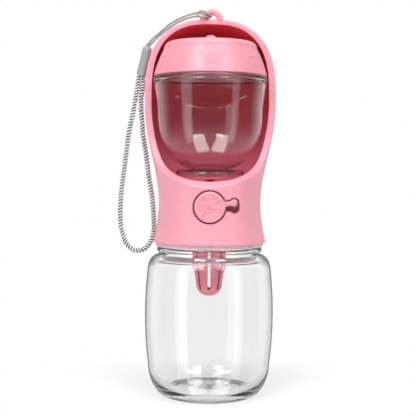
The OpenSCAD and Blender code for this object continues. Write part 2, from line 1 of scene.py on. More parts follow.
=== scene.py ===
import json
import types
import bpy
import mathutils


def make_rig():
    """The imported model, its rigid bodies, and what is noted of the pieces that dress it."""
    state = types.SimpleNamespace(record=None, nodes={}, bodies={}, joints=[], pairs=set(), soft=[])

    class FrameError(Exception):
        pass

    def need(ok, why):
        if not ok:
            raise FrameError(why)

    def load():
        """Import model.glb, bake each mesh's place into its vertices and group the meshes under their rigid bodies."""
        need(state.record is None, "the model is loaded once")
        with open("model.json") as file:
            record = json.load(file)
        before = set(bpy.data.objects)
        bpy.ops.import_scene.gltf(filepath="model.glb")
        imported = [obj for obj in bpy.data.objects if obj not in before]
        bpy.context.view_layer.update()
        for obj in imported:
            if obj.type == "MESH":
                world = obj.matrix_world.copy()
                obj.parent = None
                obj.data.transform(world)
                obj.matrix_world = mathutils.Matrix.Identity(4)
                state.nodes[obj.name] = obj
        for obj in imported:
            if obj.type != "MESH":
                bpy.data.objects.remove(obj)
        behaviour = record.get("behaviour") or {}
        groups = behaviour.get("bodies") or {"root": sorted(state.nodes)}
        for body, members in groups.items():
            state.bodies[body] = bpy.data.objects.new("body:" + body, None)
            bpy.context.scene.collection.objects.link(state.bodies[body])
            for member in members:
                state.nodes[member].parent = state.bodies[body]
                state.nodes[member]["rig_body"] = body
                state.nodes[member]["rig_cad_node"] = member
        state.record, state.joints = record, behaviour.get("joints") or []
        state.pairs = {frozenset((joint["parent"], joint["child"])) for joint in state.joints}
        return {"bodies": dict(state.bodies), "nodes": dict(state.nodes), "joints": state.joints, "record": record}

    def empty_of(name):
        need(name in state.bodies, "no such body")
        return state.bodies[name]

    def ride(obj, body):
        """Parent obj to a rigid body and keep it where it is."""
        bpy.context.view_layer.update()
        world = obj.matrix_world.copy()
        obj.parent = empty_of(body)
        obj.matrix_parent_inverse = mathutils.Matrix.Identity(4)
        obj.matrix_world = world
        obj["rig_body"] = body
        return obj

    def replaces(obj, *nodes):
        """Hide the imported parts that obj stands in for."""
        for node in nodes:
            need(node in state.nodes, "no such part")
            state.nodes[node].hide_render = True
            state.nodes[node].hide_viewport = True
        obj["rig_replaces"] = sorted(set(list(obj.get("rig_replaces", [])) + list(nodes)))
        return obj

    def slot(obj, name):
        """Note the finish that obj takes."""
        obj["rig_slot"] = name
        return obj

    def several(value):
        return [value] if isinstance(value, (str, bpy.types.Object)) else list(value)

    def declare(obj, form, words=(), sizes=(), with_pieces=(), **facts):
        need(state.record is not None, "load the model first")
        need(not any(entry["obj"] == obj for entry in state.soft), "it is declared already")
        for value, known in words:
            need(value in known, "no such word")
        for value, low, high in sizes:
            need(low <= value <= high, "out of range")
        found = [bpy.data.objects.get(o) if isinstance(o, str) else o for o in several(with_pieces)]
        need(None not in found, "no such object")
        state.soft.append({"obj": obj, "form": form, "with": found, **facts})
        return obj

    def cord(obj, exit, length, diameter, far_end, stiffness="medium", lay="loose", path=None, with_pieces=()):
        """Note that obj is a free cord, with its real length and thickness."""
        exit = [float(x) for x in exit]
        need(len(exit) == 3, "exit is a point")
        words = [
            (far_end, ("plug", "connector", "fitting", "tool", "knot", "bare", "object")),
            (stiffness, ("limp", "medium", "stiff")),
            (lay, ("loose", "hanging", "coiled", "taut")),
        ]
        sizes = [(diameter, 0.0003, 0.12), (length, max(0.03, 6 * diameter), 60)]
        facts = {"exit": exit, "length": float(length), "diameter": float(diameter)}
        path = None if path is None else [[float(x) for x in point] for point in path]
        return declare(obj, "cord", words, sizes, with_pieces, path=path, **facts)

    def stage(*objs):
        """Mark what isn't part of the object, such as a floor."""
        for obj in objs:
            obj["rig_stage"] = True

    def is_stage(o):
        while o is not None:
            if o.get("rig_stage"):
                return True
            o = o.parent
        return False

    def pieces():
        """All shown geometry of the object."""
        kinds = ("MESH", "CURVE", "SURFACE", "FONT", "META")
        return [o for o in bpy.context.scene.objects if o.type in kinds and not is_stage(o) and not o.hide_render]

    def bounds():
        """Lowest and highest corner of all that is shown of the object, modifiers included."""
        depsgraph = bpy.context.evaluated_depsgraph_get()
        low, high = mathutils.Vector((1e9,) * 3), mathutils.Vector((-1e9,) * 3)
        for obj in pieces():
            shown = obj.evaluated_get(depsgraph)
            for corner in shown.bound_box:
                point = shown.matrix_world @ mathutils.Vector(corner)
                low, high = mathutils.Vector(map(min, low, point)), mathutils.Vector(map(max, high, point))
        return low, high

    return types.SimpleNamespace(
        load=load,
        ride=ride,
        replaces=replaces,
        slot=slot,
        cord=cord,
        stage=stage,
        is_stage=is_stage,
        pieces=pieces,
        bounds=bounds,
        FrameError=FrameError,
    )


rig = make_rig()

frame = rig.load()

import json
import math
from types import SimpleNamespace

import bmesh
import bpy
import numpy as np
from mathutils import Matrix
from mathutils.geometry import delaunay_2d_cdt

bl_info = {
    "name": "Travel Bottle",
    "version": (1, 0, 0),
    "blender": (4, 5, 0),
    "location": "3D View > Sidebar > Bottle",
    "description": "Builds a dog's travel water bottle, piece by piece, round its packed CAD frame",
    "category": "Object",
}

CAD_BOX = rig.bounds()
NODES = frame["nodes"]
MM = 0.001
WELD = 2e-6  # Points closer than this, in metres, are joined
DOME_POWER, INNER_DOME_POWER = 2.58, 2.7  # How square the dome is, outside and inside
FULL_TURN = 2 * math.pi


# ---- Settings ----


def size(name, description, millimetres):
    return bpy.props.FloatProperty(
        name=name, description=description, default=millimetres * MM, precision=5, unit="LENGTH"
    )


def linear(*srgb):
    """An sRGB colour of 0 to 255 as linear values."""
    return tuple(
        (c / 255 / 12.92) if c / 255 <= 0.04045 else ((c / 255 + 0.055) / 1.055) ** 2.4 for c in srgb
    )


def colour(name, description, *srgb):
    return bpy.props.FloatVectorProperty(
        name=name, description=description, default=linear(*srgb), size=3, min=0, max=1, subtype="COLOR"
    )


def share(name, description, value):
    return bpy.props.FloatProperty(
        name=name, description=description, default=value, min=0, max=1, subtype="FACTOR"
    )


def turn_of(name, description, degrees):
    return bpy.props.FloatProperty(
        name=name, description=description, default=math.radians(degrees), subtype="ANGLE"
    )


def number(name, description, value):
    return bpy.props.FloatProperty(name=name, description=description, default=value)


class BottleSizes(bpy.types.PropertyGroup):
    belly_r: size("Belly radius", "Largest radius of the bottle", 38.4)
    belly_z: size("Belly height", "Height of the largest radius", 49)
    side_arc: size("Side arc", "Radius of the arc that the side follows", 235)
    shoulder_z: size("Shoulder height", "Where the side turns in", 75)
    shoulder_h: size("Shoulder rise", "Height of the rounded shoulder", 9.3)
    corner_h: size("Foot corner", "Height of the rounded lower corner", 18)
    foot_r: size("Foot radius", "Outer radius of the ring that the bottle stands on", 26)
    wall: size("Wall", "Thickness of the bottle's wall", 1.8)
    groove_r: size("Groove radius", "Radius of the groove over the shoulder", 30.1)
    groove_h: size("Groove height", "Height of the groove", 2.1)
    bead_r: size("Bead radius", "Radius of the bead under the thread", 31.3)
    bead_h: size("Bead height", "Height of the bead", 2.8)
    bead_drop: size("Bead drop", "How far the bead hangs under the neck's foot", 0.4)
    neck_r: size("Neck radius", "Outer radius of the neck", 26.4)
    neck_wall: size("Neck wall", "Wall of the neck", 2.2)
    neck_h: size("Neck length", "Length of the neck over the bead", 10.5)
    floor_push: size("Floor push", "How far the floor is pushed up", 2.4)


class HeadSizes(bpy.types.PropertyGroup):
    hood_r: size("Hood radius", "Largest radius of the hood", 39.3)
    hood_z: size("Hood level", "Height of the largest radius", 178.6)
    dome_h: size("Dome height", "Height of the dome over that level", 46.2)
    hood_up: size("Hood rise", "Height from the waist to that level", 63.6)
    waist_r: size("Waist radius", "Smallest radius of the head", 30.4)
    waist_z: size("Waist level", "Height of the waist", 115)
    skirt_r: size("Skirt radius", "Radius of the skirt's lower edge", 33.8)
    skirt_z: size("Skirt level", "Height of the skirt's lower edge", 91.3)
    hood_wall: size("Hood wall", "Wall of the hood", 4.1)
    skirt_wall: size("Skirt wall", "Wall of the skirt", 2)
    floor_z: size("Trough floor", "Height of the trough's floor", 126.4)
    floor_t: size("Floor thickness", "Thickness of the trough's floor", 1.9)
    lip_z: size("Lip level", "Height of the trough's front lip", 128)
    lip_out: size("Lip reach", "How far the lip stands forward", 28)
    cut_fall: size("Cut fall", "Height in which the opening falls to the lip", 12)
    rim_round: size("Rim rounding", "Rounding of the rim's outer edge", 1.3)
    eye_x: size("Eye offset", "Distance from the axis to the lanyard eye", 0.5)
    eye_z: size("Eye level", "Height of the centre of the eye's arch", 223.95)
    eye_r: size("Eye radius", "Radius of the arch to the middle of its bar", 5.15)
    eye_bar_r: size("Eye bar", "Radius of the eye's bar", 1.9)


class ButtonSizes(bpy.types.PropertyGroup):
    centre_z: size("Button height", "Height of the button's centre", 113.5)
    disc_r: size("Disc radius", "Radius of the round button", 9.2)
    tab_reach: size("Tab reach", "From the centre to the middle of the tab", 14.2)
    tab_r: size("Tab radius", "Radius of the tab's round end", 2.4)
    thickness: size("Thickness", "Thickness of the button's face", 1.9)
    gap: size("Gap", "Gap between button and slot", 0.35)
    proud: size("Proud", "How far the face stands out of the shell", 0.35)
    tab_turn: turn_of("Tab angle", "Angle of the tab at rest", 10)
    lock_turn: turn_of("Lock turn", "Turn from open to locked", 13)


class CupSizes(bpy.types.PropertyGroup):
    cup_r: size("Cup radius", "Largest radius of the food cup", 34.2)
    foot_z: size("Foot level", "Height of the cup's foot", 131)
    foot_r: size("Foot radius", "Radius of the cup's foot ring", 20.6)
    bowl_z: size("Bowl level", "Height of the bowl's bottom", 134.2)
    side_z: size("Side level", "Where the bowl meets the side", 172)
    top_z: size("Shoulder level", "Height of the cup's shoulder", 190.4)
    wall: size("Wall", "Wall of the cup", 1.8)
    neck_r: size("Neck radius", "Outer radius of the cup's neck", 28.8)
    neck_h: size("Neck length", "Length of the cup's neck", 8.6)
    lid_h: size("Lid height", "Height of the lid without its grip", 20.1)
    lid_wall: size("Lid wall", "Wall of the lid", 2)
    grip_r: size("Grip radius", "Radius of the domed grip", 3.5)
    grip_h: size("Grip height", "Height of the domed grip", 4.6)
    cover_r: size("Cover radius", "Radius of the outlet cover", 22)
    cover_h: size("Cover height", "Height of the outlet cover", 4.3)
    paw_relief: size("Paw relief", "How far a paw print's outline stands out", 0.25)


class CordSizes(bpy.types.PropertyGroup):
    thin_d: size("Thin cord", "Diameter of the thin cord", 1.3)
    wrist_d: size("Wrist cord", "Diameter of the wrist loop's cord", 3.5)
    rib_step: size("Rib step", "Distance from one knitted rib to the next", 1.75)
    sleeve_r: size("Sleeve radius", "Radius of the sleeve that joins the cords", 3)
    sleeve_h: size("Sleeve length", "Length of that sleeve", 18)
    strainer_r: size("Strainer radius", "Radius of the strainer's sleeve", 10.3)
    strainer_h: size("Strainer length", "Length of the strainer", 42.3)
    slot_w: size("Strainer slot", "Width of the strainer's slots", 1.7)


class Finishes(bpy.types.PropertyGroup):
    shell: colour("Shell", "Moulded head", 242, 162, 178)
    # The trough's two colours are painted shade: the inside of the hood is the shell's pink plastic, deepened to dark
    # red where shade falls in the hood
    trough: colour("Trough", "Inside of the hood", 222, 76, 88)
    trough_floor: colour("Trough floor", "Foot of the trough", 252, 140, 164)
    cover: colour("Cover", "Outlet cover", 200, 90, 106)
    well: colour("Well", "Well behind the button", 252, 156, 172)
    lid: colour("Lid", "Cup lid", 240, 154, 170)
    button: colour("Button", "Lock button", 238, 158, 172)
    strainer: colour("Strainer", "Strainer cage", 236, 136, 152)
    collar: colour("Collar", "Milky collar under the skirt", 232, 206, 213)
    yarn: colour("Yarn", "Wrist loop", 242, 243, 244)
    sleeve: colour("Sleeve", "Cord sleeve", 164, 165, 166)
    gloss: share("Gloss", "Roughness of the moulded plastic", 0.34)


class StageSettings(bpy.types.PropertyGroup):
    distance: size("Camera distance", "From the axis to the camera", 593)
    height: size("Camera height", "Height of the camera", 134.8)
    side: size("Camera side", "Camera's offset to the left", 1)
    lens: bpy.props.FloatProperty(name="Lens", description="Focal length", default=85.5, unit="CAMERA")
    pitch: turn_of("Pitch", "How far the camera looks down", 1.3)
    shift: number("Shift", "Vertical lens shift that frames the bottle", -0.0378)
    roll: turn_of("Roll", "Roll of the camera", 0.4)
    world: number("Room light", "Strength of the room's light", 0.36)
    mirrored: number("Mirrored light", "Strength of the room in front of the bottle in reflections", 0.12)
    lamps: number("Lamps", "Strength of all lamps", 0.87)


class TravelBottle(bpy.types.PropertyGroup):
    bottle: bpy.props.PointerProperty(type=BottleSizes)
    head: bpy.props.PointerProperty(type=HeadSizes)
    button: bpy.props.PointerProperty(type=ButtonSizes)
    cup: bpy.props.PointerProperty(type=CupSizes)
    cords: bpy.props.PointerProperty(type=CordSizes)
    finishes: bpy.props.PointerProperty(type=Finishes)
    stage: bpy.props.PointerProperty(type=StageSettings)


def settings(context, group):
    """One group of settings, with its lengths in millimetres."""
    chosen = getattr(context.scene.travel_bottle, group)
    values = {}
    for prop in chosen.bl_rna.properties:
        if prop.identifier in ("rna_type", "name"):
            continue
        value = getattr(chosen, prop.identifier)
        if getattr(prop, "unit", "") == "LENGTH":
            value = round(value / MM, 4)
        values[prop.identifier] = tuple(value) if getattr(prop, "is_array", False) else value
    return SimpleNamespace(**values)


# ---- Node graphs ----


class Graph:
    """Adds nodes to a shader or geometry tree. A value is a socket to link or a default."""

    def __init__(self, tree):
        self.tree = tree

    def feed(self, socket, value):
        if isinstance(value, bpy.types.NodeSocket):
            self.tree.links.new(value, socket)
        elif value is not None:
            socket.default_value = value

    def node(self, kind, options=None, **values):
        made = self.tree.nodes.new(kind)
        for key, value in (options or {}).items():
            setattr(made, key, value)
        for key, value in values.items():
            name = key.replace("_", " ")
            self.feed(next(s for s in made.inputs if s.name == name and s.enabled), value)
        return made

    def math(self, operation, a, b=None, c=None):
        made = self.tree.nodes.new("ShaderNodeMath")
        made.operation = operation
        for socket, value in zip(made.inputs, (a, b, c)):
            self.feed(socket, value)
        return made.outputs[0]

    def vector(self, operation, a, b=None, scale=None):
        made = self.tree.nodes.new("ShaderNodeVectorMath")
        made.operation = operation
        self.feed(made.inputs[0], a)
        self.feed(made.inputs[1], b)
        if scale is not None:
            self.feed(made.inputs["Scale"], scale)
        return made.outputs[1] if operation in ("DOT_PRODUCT", "LENGTH") else made.outputs[0]

    def combine(self, x, y, z):
        made = self.node("ShaderNodeCombineXYZ", X=x, Y=y, Z=z)
        return made.outputs[0]

    def ramp(self, factor, *stops):
        """A colour ramp over stops of (place, linear colour)."""
        made = self.node("ShaderNodeValToRGB", Fac=factor)
        ramp = made.color_ramp
        while len(ramp.elements) < len(stops):
            ramp.elements.new(0.5)
        for element, (place, tint) in zip(ramp.elements, stops):
            element.position = place
            element.color = (*tint, 1)
        return made.outputs["Color"]

    def span(self, value, low, high, out_low, out_high):
        made = self.tree.nodes.new("ShaderNodeMapRange")
        for socket, v in zip(made.inputs, (value, low, high, out_low, out_high)):
            self.feed(socket, v)
        return made.outputs[0]

    def noise(self, coords, scale, detail=2.0, roughness=0.5):
        return self.node(
            "ShaderNodeTexNoise", Vector=coords, Scale=scale, Detail=detail, Roughness=roughness
        ).outputs[0]

    def mix(self, factor, first, second):
        """The shader that goes from the first to the second by a factor."""
        made = self.node("ShaderNodeMixShader", Fac=factor)
        self.feed(made.inputs[1], first)
        self.feed(made.inputs[2], second)
        return made.outputs[0]

    def surface(self, output, **values):
        """Makes a principled shader the material's surface."""
        self.feed(output.inputs[0], self.node("ShaderNodeBsdfPrincipled", **values).outputs[0])


def scaled(tint, factor):
    return tuple(min(1.0, max(0.0, c * factor)) for c in tint)


def blank_material(name):
    """A new material, its graph, the object's coordinates in it and its output node."""
    material = bpy.data.materials.new(name)
    material.use_nodes = True
    material.node_tree.nodes.clear()
    graph = Graph(material.node_tree)
    coords = graph.node("ShaderNodeTexCoord").outputs["Object"]
    return material, graph, coords, graph.node("ShaderNodeOutputMaterial")


def moulded_plastic(name, tint, roughness, grain=0.05, clouds=0.02, zones=None, specular=0.5):
    """Injection-moulded plastic: faint clouds of shade, a fine satin grain and a little uneven gloss."""
    material, graph, coords, output = blank_material(name)
    clouding = graph.noise(coords, 45.0, 3.0)
    if zones:
        level = graph.span(clouding, 0.3, 0.7, 1 - clouds, 1 + clouds)
        base = graph.node("ShaderNodeHueSaturation", Color=zones(graph, coords), Value=level).outputs[0]
    else:
        base = graph.ramp(clouding, (0.3, scaled(tint, 1 - clouds)), (0.7, scaled(tint, 1 + clouds)))
    gloss = graph.span(graph.noise(coords, 160.0, 4.0), 0.3, 0.7, roughness - 0.03, roughness + 0.03)
    fine = graph.noise(coords, 2600.0, 2.0)
    bump = graph.node("ShaderNodeBump", Strength=grain, Distance=0.0002, Height=fine)
    graph.surface(
        output, Base_Color=base, Roughness=gloss, IOR=1.49, Normal=bump.outputs[0], Specular_IOR_Level=specular
    )
    return material


def clear_plastic(name, tint, edge_shade_tint):
    """Clear blow-moulded plastic that lets lamps and bounced light through; its colour darkens towards the grazing
    edges as painted shade.
    """
    material, graph, coords, output = blank_material(name)
    facing = graph.node("ShaderNodeLayerWeight", Blend=0.5).outputs["Facing"]
    # Painted shade: towards the grazing edges the colour darkens, standing in for the dark outlines that the walls'
    # refraction draws there
    shade = graph.ramp(facing, (0.0, tint), (0.66, tint), (0.78, edge_shade_tint), (0.9, scaled(edge_shade_tint, 0.5)))
    flow = graph.noise(coords, 60.0, 2.0)
    bump = graph.node("ShaderNodeBump", Strength=0.05, Distance=0.0004, Height=flow)
    haze = graph.span(graph.noise(coords, 120.0, 3.0), 0.35, 0.7, 0.0, 0.03)
    glass = graph.node(
        "ShaderNodeBsdfPrincipled", Base_Color=shade, Roughness=haze, IOR=1.49, Transmission_Weight=1.0,
        Normal=bump.outputs[0],
    )
    path = graph.node("ShaderNodeLightPath")
    through = graph.math("MAXIMUM", path.outputs["Is Shadow Ray"], path.outputs["Is Diffuse Ray"])
    open_air = graph.node("ShaderNodeBsdfTransparent", Color=(0.94, 0.94, 0.94, 1))
    graph.feed(output.inputs[0], graph.mix(through, glass.outputs[0], open_air.outputs[0]))
    return material


def milky_plastic(name, tint, roughness, through):
    """Cloudy, slightly see-through plastic or silicone."""
    material, graph, coords, output = blank_material(name)
    clouding = graph.noise(coords, 90.0, 4.0)
    base = graph.ramp(clouding, (0.3, scaled(tint, 0.95)), (0.7, scaled(tint, 1.03)))
    gloss = graph.span(graph.noise(coords, 300.0, 2.0), 0.3, 0.7, roughness - 0.05, roughness + 0.05)
    graph.surface(
        output, Base_Color=base, Roughness=gloss, IOR=1.45, Transmission_Weight=through,
        Subsurface_Weight=0.2, Subsurface_Scale=0.002,
    )
    return material


def polished_steel(name):
    material, graph, coords, output = blank_material(name)
    lines = graph.noise(graph.vector("MULTIPLY", coords, (400.0, 4000.0, 400.0)), 1.0, 2.0)
    base = graph.ramp(lines, (0.3, linear(170, 172, 175)), (0.7, linear(205, 206, 208)))
    gloss = graph.span(lines, 0.3, 0.7, 0.2, 0.32)
    graph.surface(output, Base_Color=base, Roughness=gloss, Metallic=1.0)
    return material


def yarn(name, tint):
    """Spun polyester: fine fibre streaks, soft sheen and a fuzzy bump."""
    contrast = 0.16
    material, graph, coords, output = blank_material(name)
    streaks = graph.noise(coords, 5200.0, 3.0, 0.6)
    patches = graph.noise(coords, 420.0, 2.0)
    mixed = graph.math("MULTIPLY_ADD", streaks, 0.6, graph.math("MULTIPLY", patches, 0.4))
    base = graph.ramp(mixed, (0.32, scaled(tint, 1 - contrast)), (0.66, scaled(tint, 1 + contrast)))
    bump = graph.node("ShaderNodeBump", Strength=0.35, Distance=0.0001, Height=streaks)
    graph.surface(
        output, Base_Color=base, Roughness=0.78, Sheen_Weight=0.25, Sheen_Roughness=0.5, Normal=bump.outputs[0]
    )
    return material


# ---- Mesh helpers ----


def read(elements, attribute, width=3, kind=np.float32):
    """An attribute of a mesh's points, corners or faces, as one row for each."""
    values = np.empty(len(elements) * width, kind)
    elements.foreach_get(attribute, values)
    return values.reshape(-1, width)


def outwards(mesh):
    """The mesh with its faces outwards."""
    mesh.calc_loop_triangles()
    corners = read(mesh.loop_triangles, "vertices", kind=np.int32)
    a, b, c = np.moveaxis(read(mesh.vertices, "co")[corners].astype(float), 1, 0)
    if np.einsum("ij,ij->i", a, np.cross(b, c)).sum() < 0:
        mesh.flip_normals()
    return mesh


def linked(name, data):
    """A new object in the scene."""
    made = bpy.data.objects.new(name, data)
    bpy.context.scene.collection.objects.link(made)
    return made


def shade(mesh, angle):
    """Smooth shading, with edges sharper than the angle kept."""
    mesh.shade_smooth()
    mesh.set_sharp_from_angle(angle=math.radians(angle))


def place(name, mesh, materials=(), angle=35):
    """An object at the origin that holds the mesh, with its faces outwards."""
    shade(outwards(mesh), angle)
    mesh.name = name
    if materials:
        mesh.materials.clear()
        for material in materials:
            mesh.materials.append(material)
    return linked(name, mesh)


def weld(mesh, collapse=True):
    """Joins the points that meet, and turns all faces one way."""
    edit = bmesh.new()
    edit.from_mesh(mesh)
    bmesh.ops.remove_doubles(edit, verts=edit.verts, dist=WELD)
    if collapse:
        bmesh.ops.dissolve_degenerate(edit, edges=edit.edges, dist=1e-7)
    bmesh.ops.recalc_face_normals(edit, faces=edit.faces)
    edit.to_mesh(mesh)
    edit.free()


def raw_mesh(points, faces):
    """A mesh from points in millimetres."""
    mesh = bpy.data.meshes.new("raw")
    mesh.from_pydata((np.asarray(points, float) * MM).tolist(), [], faces)
    return mesh


def grid_faces(rows, columns, start=0, wrap=False):
    """Quads of a grid of points, row after row."""
    i, j = np.meshgrid(np.arange(rows - 1), np.arange(columns if wrap else columns - 1), indexing="ij")
    k = (j + 1) % columns
    quads = np.stack([i * columns + j, i * columns + k, (i + 1) * columns + k, (i + 1) * columns + j], -1)
    return (quads.reshape(-1, 4) + start).tolist()


def lofted(rows):
    """A closed mesh over rows of points in millimetres, each row a ring, with both ends capped."""
    rows = np.asarray(rows, float)
    count, columns = rows.shape[:2]
    ends = [list(range(columns))[::-1], [(count - 1) * columns + k for k in range(columns)]]
    return raw_mesh(rows.reshape(-1, 3), grid_faces(count, columns, wrap=True) + ends)


def joined(name, pieces):
    """One object out of several meshes, each with its own materials."""
    edit = bmesh.new()
    materials = []
    for mesh in pieces:
        before = len(edit.faces)
        edit.from_mesh(mesh)
        edit.faces.ensure_lookup_table()
        slots = []
        for material in mesh.materials:
            if material not in materials:
                materials.append(material)
            slots.append(materials.index(material))
        if slots:
            for face in edit.faces[before:]:
                face.material_index = slots[min(face.material_index, len(slots) - 1)]
    mesh = bpy.data.meshes.new(name)
    edit.to_mesh(mesh)
    edit.free()
    for material in materials:
        mesh.materials.append(material)
    return linked(name, mesh)


def evaluated_mesh(obj):
    """The object's mesh with its modifiers applied, and the object gone."""
    graph = bpy.context.evaluated_depsgraph_get()
    mesh = bpy.data.meshes.new_from_object(obj.evaluated_get(graph))
    bpy.data.objects.remove(obj)
    return mesh


def cut_away(mesh, cutter):
    """The mesh less the cutter, as an exact boolean."""
    body, tool = linked("body", mesh), linked("tool", cutter)
    modifier = body.modifiers.new("cut", "BOOLEAN")
    modifier.operation = "DIFFERENCE"
    modifier.solver = "EXACT"
    modifier.object = tool
    result = evaluated_mesh(body)
    bpy.data.objects.remove(tool)
    return result


def unit(vectors):
    """Rows of vectors at length one."""
    return vectors / np.linalg.norm(vectors, axis=1)[:, None]


def tube(points, radii, sides):
    """A closed tube along points in millimetres."""
    tangents = unit(np.gradient(points, axis=0))
    normal = np.cross(tangents[0], (0.3, 0.9, 0.31))
    rows = []
    turn = np.linspace(0, FULL_TURN, sides, endpoint=False)
    for point, tangent, radius in zip(points, tangents, radii):
        normal = normal - tangent * (normal @ tangent)
        normal /= np.linalg.norm(normal)
        side = np.cross(tangent, normal)
        rows.append(point + radius * (np.cos(turn)[:, None] * normal + np.sin(turn)[:, None] * side))
    return lofted(rows)


def thread_ridge(root, crest, z, lead, first, last, root_w, crest_w):
    """A helical thread ridge with tapered ends, as a closed mesh."""
    count = int(math.ceil((last - first) / 6))
    rows = []
    for i in range(count + 1):
        angle = math.radians(first + (last - first) * i / count)
        level = z + lead * (last - first) / 360 * i / count
        fade = min(1.0, 0.15 + min(i, count - i) / 5)
        tip = root + (crest - root) * fade
        flank = (root + (tip - root) * 0.7, (root_w + crest_w * 1.6) / 2.6)
        half = [(root, root_w), flank, (tip, crest_w * 0.7)]
        section = half + [(r, -w) for r, w in half[::-1]]
        rows.append([
            (r * math.cos(angle), r * math.sin(angle), level + w * (0.5 + fade / 2) / 2) for r, w in section
        ])
    return outwards(lofted(rows))


def quarter(z, w, h, power, count):
    """Points of a quarter of a superellipse that ends on the axis."""
    a = np.radians(np.linspace(0, 90, count + 1))
    r = w * np.clip(np.cos(a), 0, None) ** (2 / power)
    return np.stack([r, z + h * np.clip(np.sin(a), 0, None) ** (2 / power)], 1).tolist()


def arc(cx, cy, r, first, last, count):
    a = np.radians(np.linspace(first, last, count + 1))
    return np.stack([cx + r * np.cos(a), cy + r * np.sin(a)], 1).tolist()


def run_along(points):
    """How far along its line each point lies."""
    return np.concatenate([[0], np.cumsum(np.linalg.norm(np.diff(points, axis=0), axis=1))])


def sampled(points, run, at):
    """Points of a line at distances along it."""
    return np.stack([np.interp(at, run, points[:, k]) for k in range(3)], 1)


def smooth_path(route, step):
    """A smooth curve through the route's points, in steps of about that length."""
    p = np.asarray(route, float)
    p = np.concatenate([[2 * p[0] - p[1]], p, [2 * p[-1] - p[-2]]])
    out = []
    for a, b, c, d in zip(p[:-3], p[1:-2], p[2:-1], p[3:]):
        knots = np.cumsum([0, *(np.linalg.norm(v) ** 0.5 for v in (b - a, c - b, d - c))])
        count = max(2, int(np.linalg.norm(c - b) / step) + 1)
        for t in np.linspace(knots[1], knots[2], count, endpoint=False):
            ab = a + (b - a) * (t - knots[0]) / (knots[1] - knots[0])
            bc = b + (c - b) * (t - knots[1]) / (knots[2] - knots[1])
            cd = c + (d - c) * (t - knots[2]) / (knots[3] - knots[2])
            abc = ab + (bc - ab) * (t - knots[0]) / (knots[2] - knots[0])
            bcd = bc + (cd - bc) * (t - knots[1]) / (knots[3] - knots[1])
            out.append(abc + (bcd - abc) * (t - knots[1]) / (knots[2] - knots[1]))
    out.append(p[-2])
    out = np.array(out)
    run = run_along(out)
    return sampled(out, run, np.linspace(0, run[-1], max(4, int(run[-1] / step)) + 1))


# ---- Geometry Nodes ----


def new_tree(name, *inputs):
    """A geometry tree with its named inputs, and its graph, input sockets and output node."""
    tree = bpy.data.node_groups.new(name, "GeometryNodeTree")
    tree.interface.new_socket("Geometry", in_out="INPUT", socket_type="NodeSocketGeometry")
    for label, kind, default in inputs:
        socket = tree.interface.new_socket(label, in_out="INPUT", socket_type="NodeSocket" + kind)
        if default is not None:
            socket.default_value = default
    tree.interface.new_socket("Geometry", in_out="OUTPUT", socket_type="NodeSocketGeometry")
    graph = Graph(tree)
    entry = graph.node("NodeGroupInput")
    return tree, graph, entry.outputs, graph.node("NodeGroupOutput")


def finish_tree(graph, geometry, material, output):
    real = graph.node("GeometryNodeRealizeInstances", Geometry=geometry)
    painted = graph.node("GeometryNodeSetMaterial", Geometry=real.outputs[0], Material=material)
    graph.feed(output.inputs[0], painted.outputs[0])


def turning_tree():
    """Turns a profile, given as points in the XZ plane, round the Z axis."""
    name = "Turned piece"
    if name in bpy.data.node_groups:
        return bpy.data.node_groups[name]
    tree, g, given, output = new_tree(name, ("Steps around", "Int", 96), ("Material", "Material", None))
    count = g.node("GeometryNodeAttributeDomainSize", Geometry=given["Geometry"]).outputs["Point Count"]
    columns = g.math("ADD", given["Steps around"], 1.0)
    grid = g.node("GeometryNodeMeshGrid", Size_X=1.0, Size_Y=1.0, Vertices_X=count, Vertices_Y=columns)
    spot = g.node("ShaderNodeSeparateXYZ", Vector=g.node("GeometryNodeInputPosition").outputs[0])
    last = g.math("SUBTRACT", count, 1.0)
    index = g.math("ROUND", g.math("MULTIPLY", g.math("ADD", spot.outputs["X"], 0.5), last))
    angle = g.math("MULTIPLY", g.math("ADD", spot.outputs["Y"], 0.5), FULL_TURN)
    at = g.node("GeometryNodeInputPosition").outputs[0]
    taken = g.node(
        "GeometryNodeSampleIndex", {"data_type": "FLOAT_VECTOR"},
        Geometry=given["Geometry"], Value=at, Index=index,
    )
    profile = g.node("ShaderNodeSeparateXYZ", Vector=taken.outputs[0])
    turned_to = g.combine(
        g.math("MULTIPLY", profile.outputs["X"], g.math("COSINE", angle)),
        g.math("MULTIPLY", profile.outputs["X"], g.math("SINE", angle)),
        profile.outputs["Z"],
    )
    moved = g.node("GeometryNodeSetPosition", Geometry=grid.outputs["Mesh"], Position=turned_to)
    closed = g.node("GeometryNodeMergeByDistance", Geometry=moved.outputs[0], Distance=WELD)
    finish_tree(g, closed.outputs[0], given["Material"], output)
    return tree


def ring_tree():
    """Repeats a piece round the Z axis."""
    name = "Ring of pieces"
    if name in bpy.data.node_groups:
        return bpy.data.node_groups[name]
    tree, g, given, output = new_tree(
        name, ("Count", "Int", 3), ("First angle", "Float", 0.0), ("Material", "Material", None)
    )
    points = g.node("GeometryNodePoints", Count=given["Count"])
    step = g.math("DIVIDE", FULL_TURN, given["Count"])
    angle = g.math("MULTIPLY_ADD", g.node("GeometryNodeInputIndex").outputs[0], step, given["First angle"])
    placed = g.node(
        "GeometryNodeInstanceOnPoints", Points=points.outputs[0], Instance=given["Geometry"],
        Rotation=g.combine(0.0, 0.0, angle),
    )
    finish_tree(g, placed.outputs[0], given["Material"], output)
    return tree


